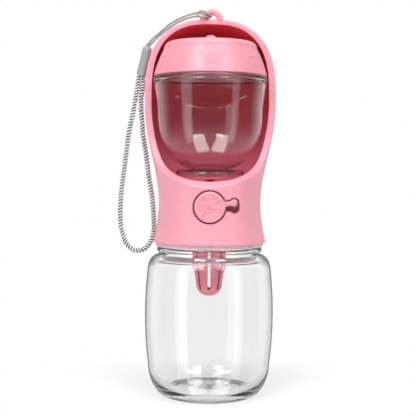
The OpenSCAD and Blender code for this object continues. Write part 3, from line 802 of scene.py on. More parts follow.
def laying_tree():
    """Lays strands round a path, twisted one way; a negative turn length twists them the other way."""
    name = "Laid cord"
    if name in bpy.data.node_groups:
        return bpy.data.node_groups[name]
    tree, g, given, output = new_tree(
        name, ("Strands", "Int", 3), ("Turn length", "Float", 0.003), ("Lay radius", "Float", 0.0003),
        ("Strand width", "Float", 0.0003), ("Strand height", "Float", 0.0003), ("Step", "Float", 0.0002),
        ("Pinch", "Float", 0.0), ("Material", "Material", None),
    )
    line = g.node("GeometryNodeMeshToCurve", Mesh=given["Geometry"])
    even = g.node(
        "GeometryNodeResampleCurve", {"mode": "LENGTH"}, Curve=line.outputs[0], Length=given["Step"]
    )
    copies = g.node(
        "GeometryNodeDuplicateElements", {"domain": "SPLINE"},
        Geometry=even.outputs[0], Amount=given["Strands"],
    )
    number = copies.outputs["Duplicate Index"]
    phase = g.math("MULTIPLY", g.math("DIVIDE", number, given["Strands"]), FULL_TURN)
    spline = g.node("GeometryNodeSplineParameter")
    along = g.math("DIVIDE", spline.outputs["Length"], given["Turn length"])
    angle = g.math("MULTIPLY_ADD", along, FULL_TURN, phase)
    # The ends are drawn in where the cord is clamped
    ends = g.math("MINIMUM", spline.outputs["Factor"], g.math("SUBTRACT", 1.0, spline.outputs["Factor"]))
    pinch = g.math("SUBTRACT", 1.0, g.math("MULTIPLY", given["Pinch"], g.span(ends, 0.004, 0.03, 1.0, 0.0)))
    reach = g.math("MULTIPLY", given["Lay radius"], pinch)
    normal = g.node("GeometryNodeInputNormal").outputs[0]
    tangent = g.node("GeometryNodeInputTangent").outputs[0]
    side = g.vector("CROSS_PRODUCT", tangent, normal)
    outward = g.vector(
        "ADD", g.vector("SCALE", normal, scale=g.math("COSINE", angle)),
        g.vector("SCALE", side, scale=g.math("SINE", angle)),
    )
    kept = g.node("GeometryNodeCaptureAttribute", Geometry=copies.outputs[0])
    kept.capture_items.new("VECTOR", "Outward")
    g.feed(kept.inputs["Outward"], outward)
    moved = g.node(
        "GeometryNodeSetPosition", Geometry=kept.outputs["Geometry"],
        Offset=g.vector("SCALE", kept.outputs["Outward"], scale=reach),
    )
    facing = g.node(
        "GeometryNodeSetCurveNormal", {"mode": "FREE"}, Curve=moved.outputs[0], Normal=kept.outputs["Outward"]
    )
    circle = g.node("GeometryNodeCurvePrimitiveCircle", Resolution=8, Radius=1.0)
    oval = g.node(
        "GeometryNodeTransform", Geometry=circle.outputs[0],
        Scale=g.combine(given["Strand height"], given["Strand width"], 1.0),
    )
    swept = g.node(
        "GeometryNodeCurveToMesh", Curve=facing.outputs[0], Profile_Curve=oval.outputs[0], Fill_Caps=True
    )
    finish_tree(g, swept.outputs[0], given["Material"], output)
    return tree


def grown(tree, mesh, **values):
    """The mesh that a tree makes of the given one. Its inputs are set by their sockets' identifiers."""
    obj = linked("seed", mesh)
    modifier = obj.modifiers.new("tree", "NODES")
    modifier.node_group = tree
    identifiers = {
        item.name: item.identifier for item in tree.interface.items_tree
        if item.item_type == "SOCKET" and item.in_out == "INPUT"
    }
    for key, value in values.items():
        modifier[identifiers[key.replace("_", " ")]] = value
    return evaluated_mesh(obj)


def line_mesh(points):
    """A mesh of nothing but a line of edges, from points in millimetres."""
    mesh = bpy.data.meshes.new("line")
    mesh.from_pydata((np.asarray(points) * MM).tolist(), [(i, i + 1) for i in range(len(points) - 1)], [])
    return mesh


def turned(profile, steps, material, closed=False):
    """The mesh of a turned piece, from its profile in millimetres."""
    points = [(r, 0, z) for r, z in profile]
    line = line_mesh(points + points[:1] if closed else points)
    return outwards(grown(turning_tree(), line, Steps_around=steps, Material=material))


def laid_mesh(path, material, **values):
    """The mesh of strands laid round a path in millimetres."""
    return outwards(grown(laying_tree(), line_mesh(path), Material=material, **values))


def laid_cord(name, path, material, slot, node, inside=(), **values):
    """A cord of laid strands along a path, round what it has inside."""
    obj = joined(name, [laid_mesh(path, material, **values), *inside])
    shade(obj.data, 70)
    return stand_in(obj, "head", slot, node)


def stand_in(obj, body, slot, *nodes):
    """The piece rides on its body in place of the CAD nodes."""
    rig.ride(obj, body)
    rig.replaces(obj, *nodes)
    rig.slot(obj, slot)
    return obj


# ---- Shapes of the head ----


def head_radius(s, z):
    """Radius of the head's outside at a height."""
    z = np.asarray(z, float)
    over = s.waist_r + (s.hood_r - s.waist_r) * (
        1 + np.cos(np.pi * (np.clip(s.hood_z - z, 0, None) / s.hood_up) ** 1.15)
    ) / 2
    under = s.waist_r + (s.skirt_r - s.waist_r) * (
        np.clip(s.waist_z - z, 0, None) / (s.waist_z - s.skirt_z)
    ) ** 1.8
    rise = np.clip(z - s.hood_z, 0, None) / s.dome_h
    dome = s.hood_r * np.clip(1 - rise**DOME_POWER, 0, None) ** (1 / DOME_POWER)
    return np.where(z >= s.hood_z, dome, np.where(z >= s.waist_z, over, under))


def inner_rise(s):
    """Height of the space inside the dome over the hood's level."""
    return s.dome_h - 0.75 * s.hood_wall


def hood_radius(s, z):
    """Radius of the space inside the hood at a height."""
    z = np.asarray(z, float)
    fillet = 3.0
    side = head_radius(s, np.minimum(z, s.hood_z)) - s.hood_wall
    foot = float(head_radius(s, s.floor_z + fillet)) - s.hood_wall
    under = np.clip(s.floor_z + fillet - z, 0, fillet)
    low = foot - fillet + np.sqrt(np.clip(fillet**2 - under**2, 0, None))
    inner = s.hood_r - s.hood_wall - 0.1
    rise = np.clip(z - s.hood_z, 0, None) / inner_rise(s)
    dome = inner * np.clip(1 - rise**INNER_DOME_POWER, 0, None) ** (1 / INNER_DOME_POWER)
    blend = np.clip((z - s.hood_z + 2) / 2, 0, 1)
    side = side * (1 - blend) + inner * blend
    return np.where(z >= s.hood_z, dome, np.where(z < s.floor_z + fillet, low, side))


def front_cut(s, z):
    """How far forward the shell reaches at a height; the opening lies in front."""
    z = np.asarray(z, float)
    curve = -1 - (s.lip_out - 1) * np.exp(-(z - s.lip_z) / s.cut_fall)
    start = s.lip_z + 0.5
    at_start = -1 - (s.lip_out - 1) * math.exp(-0.5 / s.cut_fall)
    line = at_start + (-s.lip_out - 6 - at_start) * (start - z) / (start - s.lip_z + 6)
    return np.where(z >= start, curve, line)


def root(f, low, high):
    """Where a function changes sign between two values."""
    for _ in range(60):
        mid = (low + high) / 2
        if (f(mid) > 0) == (f(high) > 0):
            high = mid
        else:
            low = mid
    return (low + high) / 2


def rim_line(s, radius, low, high, count):
    """Points and directions of the line where the cut meets a turned surface, from the lip up to the top."""
    p = (1 - np.cos(np.linspace(0, np.pi, 6001))) / 2
    z = low + (high - low) * p
    y = front_cut(s, z)
    x = np.sqrt(np.clip(radius(z) ** 2 - y**2, 0, None))
    x[0] = x[-1] = 0
    line = np.stack([x, y, z], 1)
    run = run_along(line)
    even = np.linspace(0, run[-1], count + 1)
    direction = sampled(line, run, even + 0.05) - sampled(line, run, even - 0.05)
    direction[0] = (1, 0, 0)
    direction[-1] = (-1, 0, 0)
    return sampled(line, run, even), unit(direction)


def turned_normal(radius, points, outward=1):
    """Normal of a turned surface at points on it."""
    r = np.hypot(points[:, 0], points[:, 1])
    slope = (radius(points[:, 2] + 0.01) - radius(points[:, 2] - 0.01)) / 0.02
    return unit(np.stack([points[:, 0] / r, points[:, 1] / r, -slope], 1) * outward)


def rounded_edge(s, radius, outward, points, direction, size, segments=5):
    """The rounding of the rim's edge: rows from the turned surface over to the cut's face."""
    on_surface = turned_normal(radius, points, outward)
    slope = (front_cut(s, points[:, 2] + 0.01) - front_cut(s, points[:, 2] - 0.01)) / 0.02
    on_face = unit(np.stack([np.zeros(len(points)), -np.ones(len(points)), slope], 1))

    def away(normal, other):
        u = np.cross(normal, direction)
        return unit(u * np.where((u * other).sum(1) > 0, -1, 1)[:, None])

    start = points + size * away(on_surface, on_face)
    turn = np.arctan2(start[:, 0], start[:, 1])
    r = radius(start[:, 2])
    start[:, 0], start[:, 1] = r * np.sin(turn), r * np.cos(turn)
    end = points + size * away(on_face, on_surface)
    end[:, 1] = front_cut(s, end[:, 2])
    start[[0, -1], 0] = end[[0, -1], 0] = 0
    steps = np.linspace(0, 1, segments + 1)
    return [(1 - t) ** 2 * start + 2 * t * (1 - t) * points + t**2 * end for t in steps]


def wrapped_patch(radius, edge, columns, top, profile):
    """Half of a turned surface between its back and the rim's edge, then on down its profile of (r, z)."""
    low, high = edge[0, 2], edge[-1, 2]
    z = np.linspace(low, high, 4000)
    z = np.append(z[:-1], high)
    run = run_along(np.stack([z, radius(z)], 1))
    back = np.interp(np.linspace(0, run[-1], len(edge)), run, z)
    v = np.linspace(0, 1, columns + 1)
    turn = np.arctan2(edge[:, 0], edge[:, 1])
    turn[0] = np.pi
    turn[-1] = np.pi if edge[-1, 1] < 0 else 0.0
    level = back[:, None] + (edge[:, 2] - back)[:, None] * v[None, :] ** 2
    phi = turn[:, None] * v[None, :]
    r = radius(level)
    upper = np.stack([r * np.sin(phi), r * np.cos(phi), level], -1)
    upper[:, -1] = edge
    upper[:, 0, 0] = 0
    phi = v * np.pi
    lower = np.array([[(r * math.sin(a), r * math.cos(a), z) for a in phi] for r, z in profile])
    lower[:, 0, 0] = lower[:, -1, 0] = 0
    cap = np.tile((0.0, 0.0, top), (1, columns + 1, 1))
    return np.concatenate([lower[::-1], upper, cap])


def head_shell_mesh(s):
    """The hood, waist, trough and skirt as one closed mesh; the trough's inside is its second slot."""
    outer = lambda z: head_radius(s, z)
    inner = lambda z: hood_radius(s, z)
    crown = s.hood_z + s.dome_h
    inner_crown = s.hood_z + inner_rise(s)
    steps = 150
    low = root(lambda z: float(outer(z) + front_cut(s, z)), s.lip_z - 6, s.lip_z + 4)
    high = root(lambda z: float(outer(z) - 1.2), crown - 3, crown)
    outer_line, outer_way = rim_line(s, outer, low, high, steps)
    low = root(lambda z: float(inner(z) + front_cut(s, z)), s.floor_z + 0.6, s.lip_z + 4)
    high = root(lambda z: float(inner(z) - 1.2), inner_crown - 3, inner_crown)
    inner_line, inner_way = rim_line(s, inner, low, high, steps)
    outer_rows = rounded_edge(s, outer, 1, outer_line, outer_way, s.rim_round)
    inner_rows = rounded_edge(s, inner, -1, inner_line, inner_way, 0.35, 4)
    start, end = outer_rows[-1], inner_rows[-1]
    face_rows = []
    for t in np.linspace(0, 1, 7)[1:-1]:
        row = start + (end - start) * t
        row[:, 1] = front_cut(s, row[:, 2])
        face_rows.append(row)
    strip = np.array(outer_rows + face_rows + inner_rows[::-1])

    top_of_skirt_space = s.floor_z - s.floor_t
    edge_z = outer_rows[0][0, 2]
    profile = [(float(outer(z)), z) for z in np.linspace(edge_z, s.skirt_z + 0.9, 46)[1:]]
    corner = float(outer(s.skirt_z + 0.9))
    profile += arc(corner - 0.9, s.skirt_z + 0.9, 0.9, 0, -90, 6)[1:]
    profile += arc(corner - s.skirt_wall + 0.5, s.skirt_z + 0.4, 0.4, -90, -180, 3)
    levels = np.linspace(s.skirt_z + 1.2, top_of_skirt_space - 1, 26)
    profile += [(float(outer(z)) - s.skirt_wall, z) for z in levels]
    wall_r = s.waist_r - s.skirt_wall
    profile += [(wall_r - 1, top_of_skirt_space), (14, top_of_skirt_space), (0.0, top_of_skirt_space)]
    outer_patch = wrapped_patch(outer, outer_rows[0], 76, crown, profile)

    inner_low = inner_rows[0][0, 2]
    levels = np.linspace(inner_low, s.floor_z, 7)[1:]
    floor_profile = [(float(inner(z)), z) for z in levels] + [(r, s.floor_z) for r in (18.0, 6.0, 0.0)]
    inner_patch = wrapped_patch(inner, inner_rows[0], 64, inner_crown, floor_profile)

    points, faces, slots = [], [], []
    for patch, slot in ((outer_patch, 0), (strip, 0), (inner_patch, 1)):
        made = grid_faces(patch.shape[0], patch.shape[1], start=sum(len(p) for p in points))
        points.append(patch.reshape(-1, 3))
        faces += made
        slots += [slot] * len(made)
    points = np.concatenate(points)
    count = len(points)
    mirrored = points * (-1, 1, 1)
    faces += [[i + count for i in face[::-1]] for face in faces]
    mesh = raw_mesh(np.concatenate([points, mirrored]), faces)
    mesh.polygons.foreach_set("material_index", slots * 2)
    weld(mesh)
    return mesh


def follow_surface(mesh, radius):
    """Sets the exact normals of a turned surface on the corners that lie on it."""
    points = read(mesh.vertices, "co").astype(float) / MM
    normals = read(mesh.corner_normals, "vector").astype(float)
    totals = read(mesh.polygons, "loop_total", 1, np.int32)[:, 0]
    face_normals = np.repeat(read(mesh.polygons, "normal"), totals, axis=0)
    at = points[read(mesh.loops, "vertex_index", 1, np.int32)[:, 0]]
    r = np.hypot(at[:, 0], at[:, 1])
    exact = turned_normal(radius, np.where(r[:, None] < 1e-3, (1e-3, 0, 0), at))
    near = (np.abs(r - radius(at[:, 2])) < 0.006) & ((exact * face_normals).sum(1) > 0.93) & (r > 1.5)
    normals[near] = exact[near]
    mesh.normals_split_custom_set(normals.tolist())


# ---- Button outline ----


def rotated(points, turn):
    """Points of a plane, turned about its origin."""
    c, k = math.cos(turn), math.sin(turn)
    return np.stack([points[:, 0] * c - points[:, 1] * k, points[:, 0] * k + points[:, 1] * c], 1)


def keyhole(b, more, low_turn, high_turn):
    """Outline of the disc with its side tab, swept from one turn to the other, round its centre."""
    steps = 46
    disc, neck, end = b.disc_r + more, 1.6 + more, b.tab_r + more
    root_fillet, end_fillet = max(1.5 - more, 0.3), max(1.0 - more, 0.3)
    root_x = math.sqrt((disc + root_fillet) ** 2 - (neck + root_fillet) ** 2)
    end_x = b.tab_reach - math.sqrt((end + end_fillet) ** 2 - (neck + end_fillet) ** 2)
    start = math.degrees(math.atan2(neck + root_fillet, root_x))
    meet = math.degrees(math.atan2(neck + end_fillet, end_x - b.tab_reach))
    side = arc(0, 0, disc, 180, start, steps)
    side += arc(root_x, neck + root_fillet, root_fillet, start - 180, -90, 8)[1:]
    side += arc(end_x, neck + end_fillet, end_fillet, -90, meet - 180, 6)
    side += arc(b.tab_reach, 0, end, meet, 0, 16)[1:]
    side = np.array(side)

    # The disc's far half doesn't turn with the tab, so the turn fades in over it
    upper = rotated(side, high_turn)
    lower = rotated(side * (1, -1), low_turn)
    fade = np.linspace(0, 1, steps + 1)
    round_disc = np.radians(180 + (start - 180) * fade)
    for half, angle in ((upper, round_disc + high_turn * fade), (lower, -round_disc + low_turn * fade)):
        half[: steps + 1] = disc * np.stack([np.cos(angle), np.sin(angle)], 1)
    tip = b.tab_reach + end
    bridge = np.array(arc(0, 0, tip, math.degrees(high_turn), math.degrees(low_turn), 8))[1:-1]
    if abs(high_turn - low_turn) < 1e-6:
        return np.concatenate([upper, lower[::-1][1:-1]])
    return np.concatenate([upper, bridge, lower[::-1][:-1]])


def offset_inward(outline, distance):
    """The outline moved inwards by a distance, point by point."""
    ahead = np.roll(outline, -1, 0) - np.roll(outline, 1, 0)
    normal = unit(np.stack([-ahead[:, 1], ahead[:, 0]], 1))
    area = (outline[:, 0] * np.roll(outline[:, 1], -1) - np.roll(outline[:, 0], -1) * outline[:, 1]).sum()
    return outline + normal * distance * (1 if area > 0 else -1)


def inside(points, outline):
    """Which points lie inside a closed outline."""
    x, y = points[:, 0][:, None], points[:, 1][:, None]
    x0, y0 = outline[:, 0], outline[:, 1]
    x1, y1 = np.roll(x0, -1), np.roll(y0, -1)
    with np.errstate(divide="ignore", invalid="ignore"):
        crosses = ((y0 > y) != (y1 > y)) & (x < (x1 - x0) * (y - y0) / (y1 - y0) + x0)
    return crosses.sum(1) % 2 == 1


def distance_to(points, outline):
    """Distance of points to a closed outline."""
    a, b = outline, np.roll(outline, -1, 0)
    best = np.full(len(points), 1e9)
    for p, q in zip(a, b):
        d = q - p
        t = np.clip(((points - p) @ d) / (d @ d), 0, 1)
        best = np.minimum(best, np.hypot(*(points - p - t[:, None] * d).T))
    return best


def paw_pads(centre, across, turn):
    """Outlines of a plain paw print's five pads, for a print of that width."""
    half = [(0, 3.5), (1.35, 2.9), (2.5, 1.2), (4.1, -0.6), (4.7, -2.1), (3.9, -3.3), (2.3, -3.2), (0, -2.6)]
    loop = np.array(half + [(-x, y) for x, y in half[-2:0:-1]])
    closed = np.concatenate([loop[-3:], loop, loop[:4]])
    path = smooth_path(np.c_[closed, np.zeros(len(closed))], 0.12)[:, :2]
    angles = np.unwrap(np.arctan2(path[:, 1], path[:, 0]))
    first = np.argmax(np.abs(angles - angles[0]) > 0.9)
    span = np.abs(angles - angles[first]) <= FULL_TURN
    span[:first] = False
    pads = [path[span][:-1]]
    t = np.linspace(0, FULL_TURN, 28, endpoint=False)
    for x, y, w, h, tilt in ((2.35, 6.5, 1.45, 2.15, -8), (5.8, 3.2, 1.25, 1.9, -26)):
        for side in (-1, 1):
            toe = rotated(np.stack([w * np.cos(t), h * np.sin(t)], 1), math.radians(side * tilt))
            pads.append(toe + (side * x, y))
    return [rotated((pad - (0, 1.6)) * across / 14, turn) + centre for pad in pads]


def paw_relief(points, pads, width):
    """For each point: how strongly a pad's raised outline passes it, and whether it lies on a pad."""
    line, on_pad = np.zeros(len(points)), np.zeros(len(points))
    for pad in pads:
        low, high = pad.min(0) - 3 * width, pad.max(0) + 3 * width
        near = ((points > low) & (points < high)).all(1)
        d = distance_to(points[near], pad)
        line[near] = np.maximum(line[near], np.exp(-((d / width) ** 2)))
        on_pad[near] = np.maximum(on_pad[near], inside(points[near], pad) * np.clip(d / (2 * width), 0, 1))
    return line, on_pad


def tone_pads(mesh, values):
    """Keeps on each point how much it lies on a print's pad."""
    tone = mesh.attributes.new("pad", "FLOAT", "POINT")
    tone.data.foreach_set("value", np.asarray(values, np.float32))


def pad_tones(tint):
    """Colour zones that are a little deeper on a paw print's pads."""
    deeper = tuple(c * f for c, f in zip(tint, (0.985, 0.94, 0.95)))

    def zones(graph, coords):
        pad = graph.node("ShaderNodeAttribute", {"attribute_name": "pad"}).outputs["Fac"]
        return graph.ramp(pad, (0.0, tint), (1.0, deeper))

    return zones


# ---- Operators ----


class Build:
    """What the building operators share."""

    bl_options = {"REGISTER", "UNDO"}

    def tints(self, context):
        return settings(context, "finishes")


class TRAVELBOTTLE_OT_bottle(Build, bpy.types.Operator):
    """Blow-moulded clear bottle with its foot ring, shoulder, bead and neck thread"""

    bl_idname = "travel_bottle.bottle"
    bl_label = "Clear bottle"

    def execute(self, context):
        s = settings(context, "bottle")
        side = lambda z: s.belly_r - (z - s.belly_z) ** 2 / (2 * s.side_arc)
        neck_z = s.shoulder_z + s.shoulder_h
        bead_top = neck_z + s.groove_h + s.bead_h
        top = bead_top + s.neck_h
        side_top = side(s.shoulder_z)
        corner_w = side(s.corner_h) - s.foot_r
        ring_in = s.foot_r - 2.4

        square = 1.75

        def corner(inset, base):
            a = np.radians(np.linspace(89, 0, 26))
            r = s.foot_r + (corner_w - inset) * np.cos(a) ** (2 / square)
            z = s.corner_h - (s.corner_h - base) * np.sin(a) ** (2 / square)
            return np.stack([r, z], 1)

        outer = corner(0, 0.0).tolist()
        outer += [(side(z), z) for z in np.linspace(s.corner_h, s.shoulder_z, 34)[1:]]
        outer += [
            (s.groove_r + (side_top - s.groove_r) * math.cos(a), s.shoulder_z + s.shoulder_h * math.sin(a))
            for a in np.radians(np.linspace(0, 90, 24))[1:]
        ]
        outer += [(s.groove_r, neck_z + 0.5), (s.groove_r, neck_z + s.groove_h - s.bead_drop - 0.3)]
        outer += [
            (s.groove_r + (s.bead_r - s.groove_r) * math.sin(a) ** 0.6,
             neck_z + s.groove_h - s.bead_drop + s.bead_h * (1 - math.cos(a)) / 2)
            for a in np.linspace(0.02, math.pi - 0.02, 14)
        ]
        outer += [(s.neck_r + 0.5, bead_top), (s.neck_r, bead_top + 0.5), (s.neck_r, top - 0.6)]
        outer += arc(s.neck_r - 0.6, top - 0.6, 0.6, 15, 90, 4)
        bore = s.neck_r - s.neck_wall
        throat = neck_z - s.wall
        inner = arc(bore + 0.5, top - 0.5, 0.5, 90, 180, 3) + [(bore, bead_top + 1.0)]
        inner += [(bore + 0.4, bead_top + 0.2), (bore + 1.4, bead_top - 0.5), (bore + 3.4, bead_top - 1.0)]
        inner += [(s.bead_r - 2.5, bead_top - 1.7), (s.bead_r - 2.7, neck_z + 1.4)]
        inner += [(s.groove_r - 2.1, neck_z + 0.6), (s.groove_r - 2.1, neck_z - 0.4)]
        inner_top, throat_r = side_top - s.wall, s.groove_r - s.wall - 0.2
        inner += [
            (throat_r + (inner_top - throat_r) * math.cos(a),
             s.shoulder_z + (throat - s.shoulder_z) * math.sin(a))
            for a in np.radians(np.linspace(84, 0, 24))
        ]
        inner += [(side(z) - s.wall, z) for z in np.linspace(s.shoulder_z, s.corner_h, 34)[1:]]
        inner += corner(s.wall, s.floor_push + 1.6)[::-1][1:-3].tolist()
        # The floor inside: a crease where the corner ends, a shallow dish and a low boss in the middle
        floor_z = s.floor_push + 0.9
        inner += [(r, floor_z + rise) for r, rise in (
            (26.2, 0.8), (25.9, 1.2), (25.4, 1.3), (25.0, 1.1), (24.7, 0.75), (21.0, 0.95), (18.0, 1.15),
            (15.0, 1.35), (13.1, 1.45), (12.7, 1.25), (12.3, 1.5), (10.5, 1.6), (9.4, 1.7), (8.7, 2.1),
            (8.2, 2.5), (7.4, 2.7), (5.0, 2.85), (3.4, 2.85), (2.9, 2.5), (2.2, 2.4), (0.0, 2.35),
        )]
        under = [(0.0, s.floor_push), (5, s.floor_push), (9, s.floor_push - 0.05), (12, s.floor_push - 0.2)]
        under += [(r, s.floor_push * (1 - (r / ring_in) ** 4)) for r in (14, 16, 18, 20)]
        under += [(21.6, 0.62), (22.6, 0.3), (23.3, 0.08), (24.0, 0.0), (25.2, 0.0)]
        clear = clear_plastic("clear_bottle_plastic", (0.982, 0.984, 0.985), (0.9, 0.905, 0.91))
        body = turned(outer + inner + under, 160, clear)
        ridge = thread_ridge(s.neck_r - 0.6, s.neck_r + 1.1, bead_top + 3, 4, 0, 500, 2.6, 1)
        ridge.materials.append(clear)
        made = joined("clear_bottle", [body, ridge])
        shade(made.data, 40)
        stand_in(made, "bottle", "clear_plastic", "bottle")
        return {"FINISHED"}


class TRAVELBOTTLE_OT_head_shell(Build, bpy.types.Operator):
    """Moulded head: hood with its rim, trough, waist with the keyhole slot, and skirt"""

    bl_idname = "travel_bottle.head_shell"
    bl_label = "Head shell"

    def execute(self, context):
        s, b, tints = settings(context, "head"), settings(context, "button"), self.tints(context)
        mesh = head_shell_mesh(s)
        radius = lambda z: head_radius(s, z)
        low = b.tab_turn - b.lock_turn
        rings = []
        # From outside inwards: a flare that rounds the slot's edge, then the straight wall
        flare = 0.35
        for depth, more in (
            (-3.0, flare), (-0.02, flare), (0.05, 0.28), (0.16, 0.13), (0.32, 0.03), (0.46, 0.0), (9.0, 0.0)
        ):
            outline = keyhole(b, b.gap + more, low, b.tab_turn)
            z = b.centre_z + outline[:, 1]
            y = -np.sqrt(radius(z) ** 2 - outline[:, 0] ** 2) + depth
            rings.append(np.stack([outline[:, 0], y, z], 1))
        columns = len(outline)
        faces = grid_faces(len(rings), columns, wrap=True)
        faces += [list(range(columns)), [(len(rings) - 1) * columns + k for k in range(columns)][::-1]]
        cutter = outwards(raw_mesh(np.concatenate(rings), faces))
        shell = moulded_plastic("shell_plastic", tints.shell, tints.gloss)

        # Painted shade: the inside of the hood is darker at the trough's floor, lightest just above it, and deep red
        # towards the top, where shade falls inside the hood
        def trough_shade_zones(graph, coords):
            height = graph.node("ShaderNodeSeparateXYZ", Vector=coords).outputs["Z"]
            level = graph.span(height, s.floor_z * MM, (s.floor_z + 50) * MM, 0.0, 1.0)
            foot, top = tints.trough_floor, tints.trough
            middle = tuple((a + 2 * b) / 3 for a, b in zip(foot, top))
            return graph.ramp(level, (0.0, scaled(foot, 0.8)), (0.1, foot), (0.5, middle), (1.0, top))

        trough = moulded_plastic("trough_painted_shade_plastic", tints.trough, 0.45, zones=trough_shade_zones, specular=0.05)
        mesh.materials.append(shell)
        mesh.materials.append(trough)
        mesh = cut_away(mesh, cutter)
        # Bosses under the trough that the plate's screws go into
        boss_z, boss_top, ring_r = 103.1, s.floor_z - s.floor_t / 2, 20
        profile = [(0, boss_z), (2.5, boss_z), (2.8, boss_z + 0.3), (2.8, boss_top), (0, boss_top)]
        bosses = []
        for a in np.radians((-30, 90, 210)):
            bosses.append(turned(profile, 24, shell))
            bosses[-1].transform(Matrix.Translation((ring_r * MM * math.cos(a), ring_r * MM * math.sin(a), 0)))
        made = joined("head_shell_moulding", [mesh, *bosses])
        shade(made.data, 38)
        follow_surface(made.data, radius)
        stand_in(made, "head", "pink_plastic", "head_shell")
        return {"FINISHED"}


class TRAVELBOTTLE_OT_lanyard_eye(Build, bpy.types.Operator):
    """Arched eye on the dome that the lanyard is hitched to"""

    bl_idname = "travel_bottle.lanyard_eye"
    bl_label = "Lanyard eye"

    def execute(self, context):
        s, tints = settings(context, "head"), self.tints(context)
        turn = np.radians(np.linspace(-20, 200, 76))
        points = np.stack([s.eye_x + s.eye_r * np.cos(turn), 0 * turn, s.eye_z + s.eye_r * np.sin(turn)], 1)
        # The feet taper off inside the rim
        foot = np.clip((s.eye_z + 0.9 - points[:, 2]) / 2.6, 0, 1)
        radii = s.eye_bar_r * (1 - 0.6 * foot**1.5)
        pink = moulded_plastic("eye_plastic", tints.shell, tints.gloss)
        made = place("eye_arch", tube(points, radii, 28), [pink], 50)
        stand_in(made, "head", "pink_plastic", "lanyard_eye")
        return {"FINISHED"}


class TRAVELBOTTLE_OT_collar(Build, bpy.types.Operator):
    """Milky threaded collar whose flange shows under the skirt"""

    bl_idname = "travel_bottle.collar"
    bl_label = "Threaded collar"

    def execute(self, context):
        s, h, tints = settings(context, "bottle"), settings(context, "head"), self.tints(context)
        bead_top = s.shoulder_z + s.shoulder_h + s.groove_h + s.bead_h
        bore = s.neck_r + 1.5
        z0, z1 = bead_top + 0.3 - s.bead_drop, bead_top + s.neck_h - 0.6
        out = h.skirt_r - 1.7
        profile = [(bore, z0 + 0.6), (bore + 0.6, z0), (out - 0.6, z0)]
        profile += arc(out - 0.6, z0 + 0.6, 0.6, -90, 0, 6)[1:] + [(out, h.skirt_z - 0.2), (out, h.skirt_z)]
        profile += [(h.skirt_r - h.skirt_wall - 0.2, h.skirt_z)]
        levels = np.linspace(h.skirt_z + 0.4, z1, 8)
        profile += [(float(head_radius(h, z)) - h.skirt_wall - 0.2, z) for z in levels] + [(bore, z1)]
        milky = milky_plastic("milky_collar_plastic", tints.collar, 0.3, 0.15)
        body = turned(profile, 128, milky, closed=True)
        ridge = thread_ridge(bore + 0.6, bore - 1.1, bead_top + 1.4, 4, 36, 450, 2.6, 1)
        ridge.materials.append(milky)
        made = joined("milky_collar", [body, ridge])
        shade(made.data, 35)
        stand_in(made, "head", "milky_plastic", "threaded_collar")
        return {"FINISHED"}


class TRAVELBOTTLE_OT_strainer(Build, bpy.types.Operator):
    """Slotted strainer cage that hangs in the bottle's neck"""

    bl_idname = "travel_bottle.strainer"
    bl_label = "Strainer cage"

    def execute(self, context):
        s, tints = settings(context, "cords"), self.tints(context)
        top = 101.4
        bottom = 101.5 - s.strainer_h
        step = bottom + 0.43 * s.strainer_h
        bowl = 8.2

        def skin(inset):
            r = s.strainer_r - inset
            side = [(r, top)] + [(r - narrower, step + rise) for narrower, rise in (
                (0, 2.2), (0.1, 1.5), (0.45, 0.6), (0.95, -0.5), (1.2, -1.3)
            )]
            return side + quarter(bottom + bowl, s.strainer_r - 2.4 - inset, -(bowl - inset), 2.2, 18)

        wall = 1.3
        pink = moulded_plastic("strainer_plastic", tints.strainer, 0.28, grain=0.04)
        body = turned(skin(0) + skin(wall)[::-1], 120, pink, closed=True)
        # One slot's cutter, open at the top of the sleeve and round at its lower end
        half, low = s.slot_w / 2, bottom + 5
        high = low + s.strainer_h - 14
        outline = [(half, high)] + arc(0, low, half, 0, -180, 12) + [(-half, high)]
        slot = outwards(lofted([[(x, y, z) for y, z in outline] for x in (3.2, 2 * s.strainer_r)]))
        slots = grown(ring_tree(), slot, Count=8, Material=pink)
        body = cut_away(body, slots)
        made = place("slotted_strainer", body, [pink], 38)
        stand_in(made, "head", "strainer_plastic", "strainer_cage")
        return {"FINISHED"}


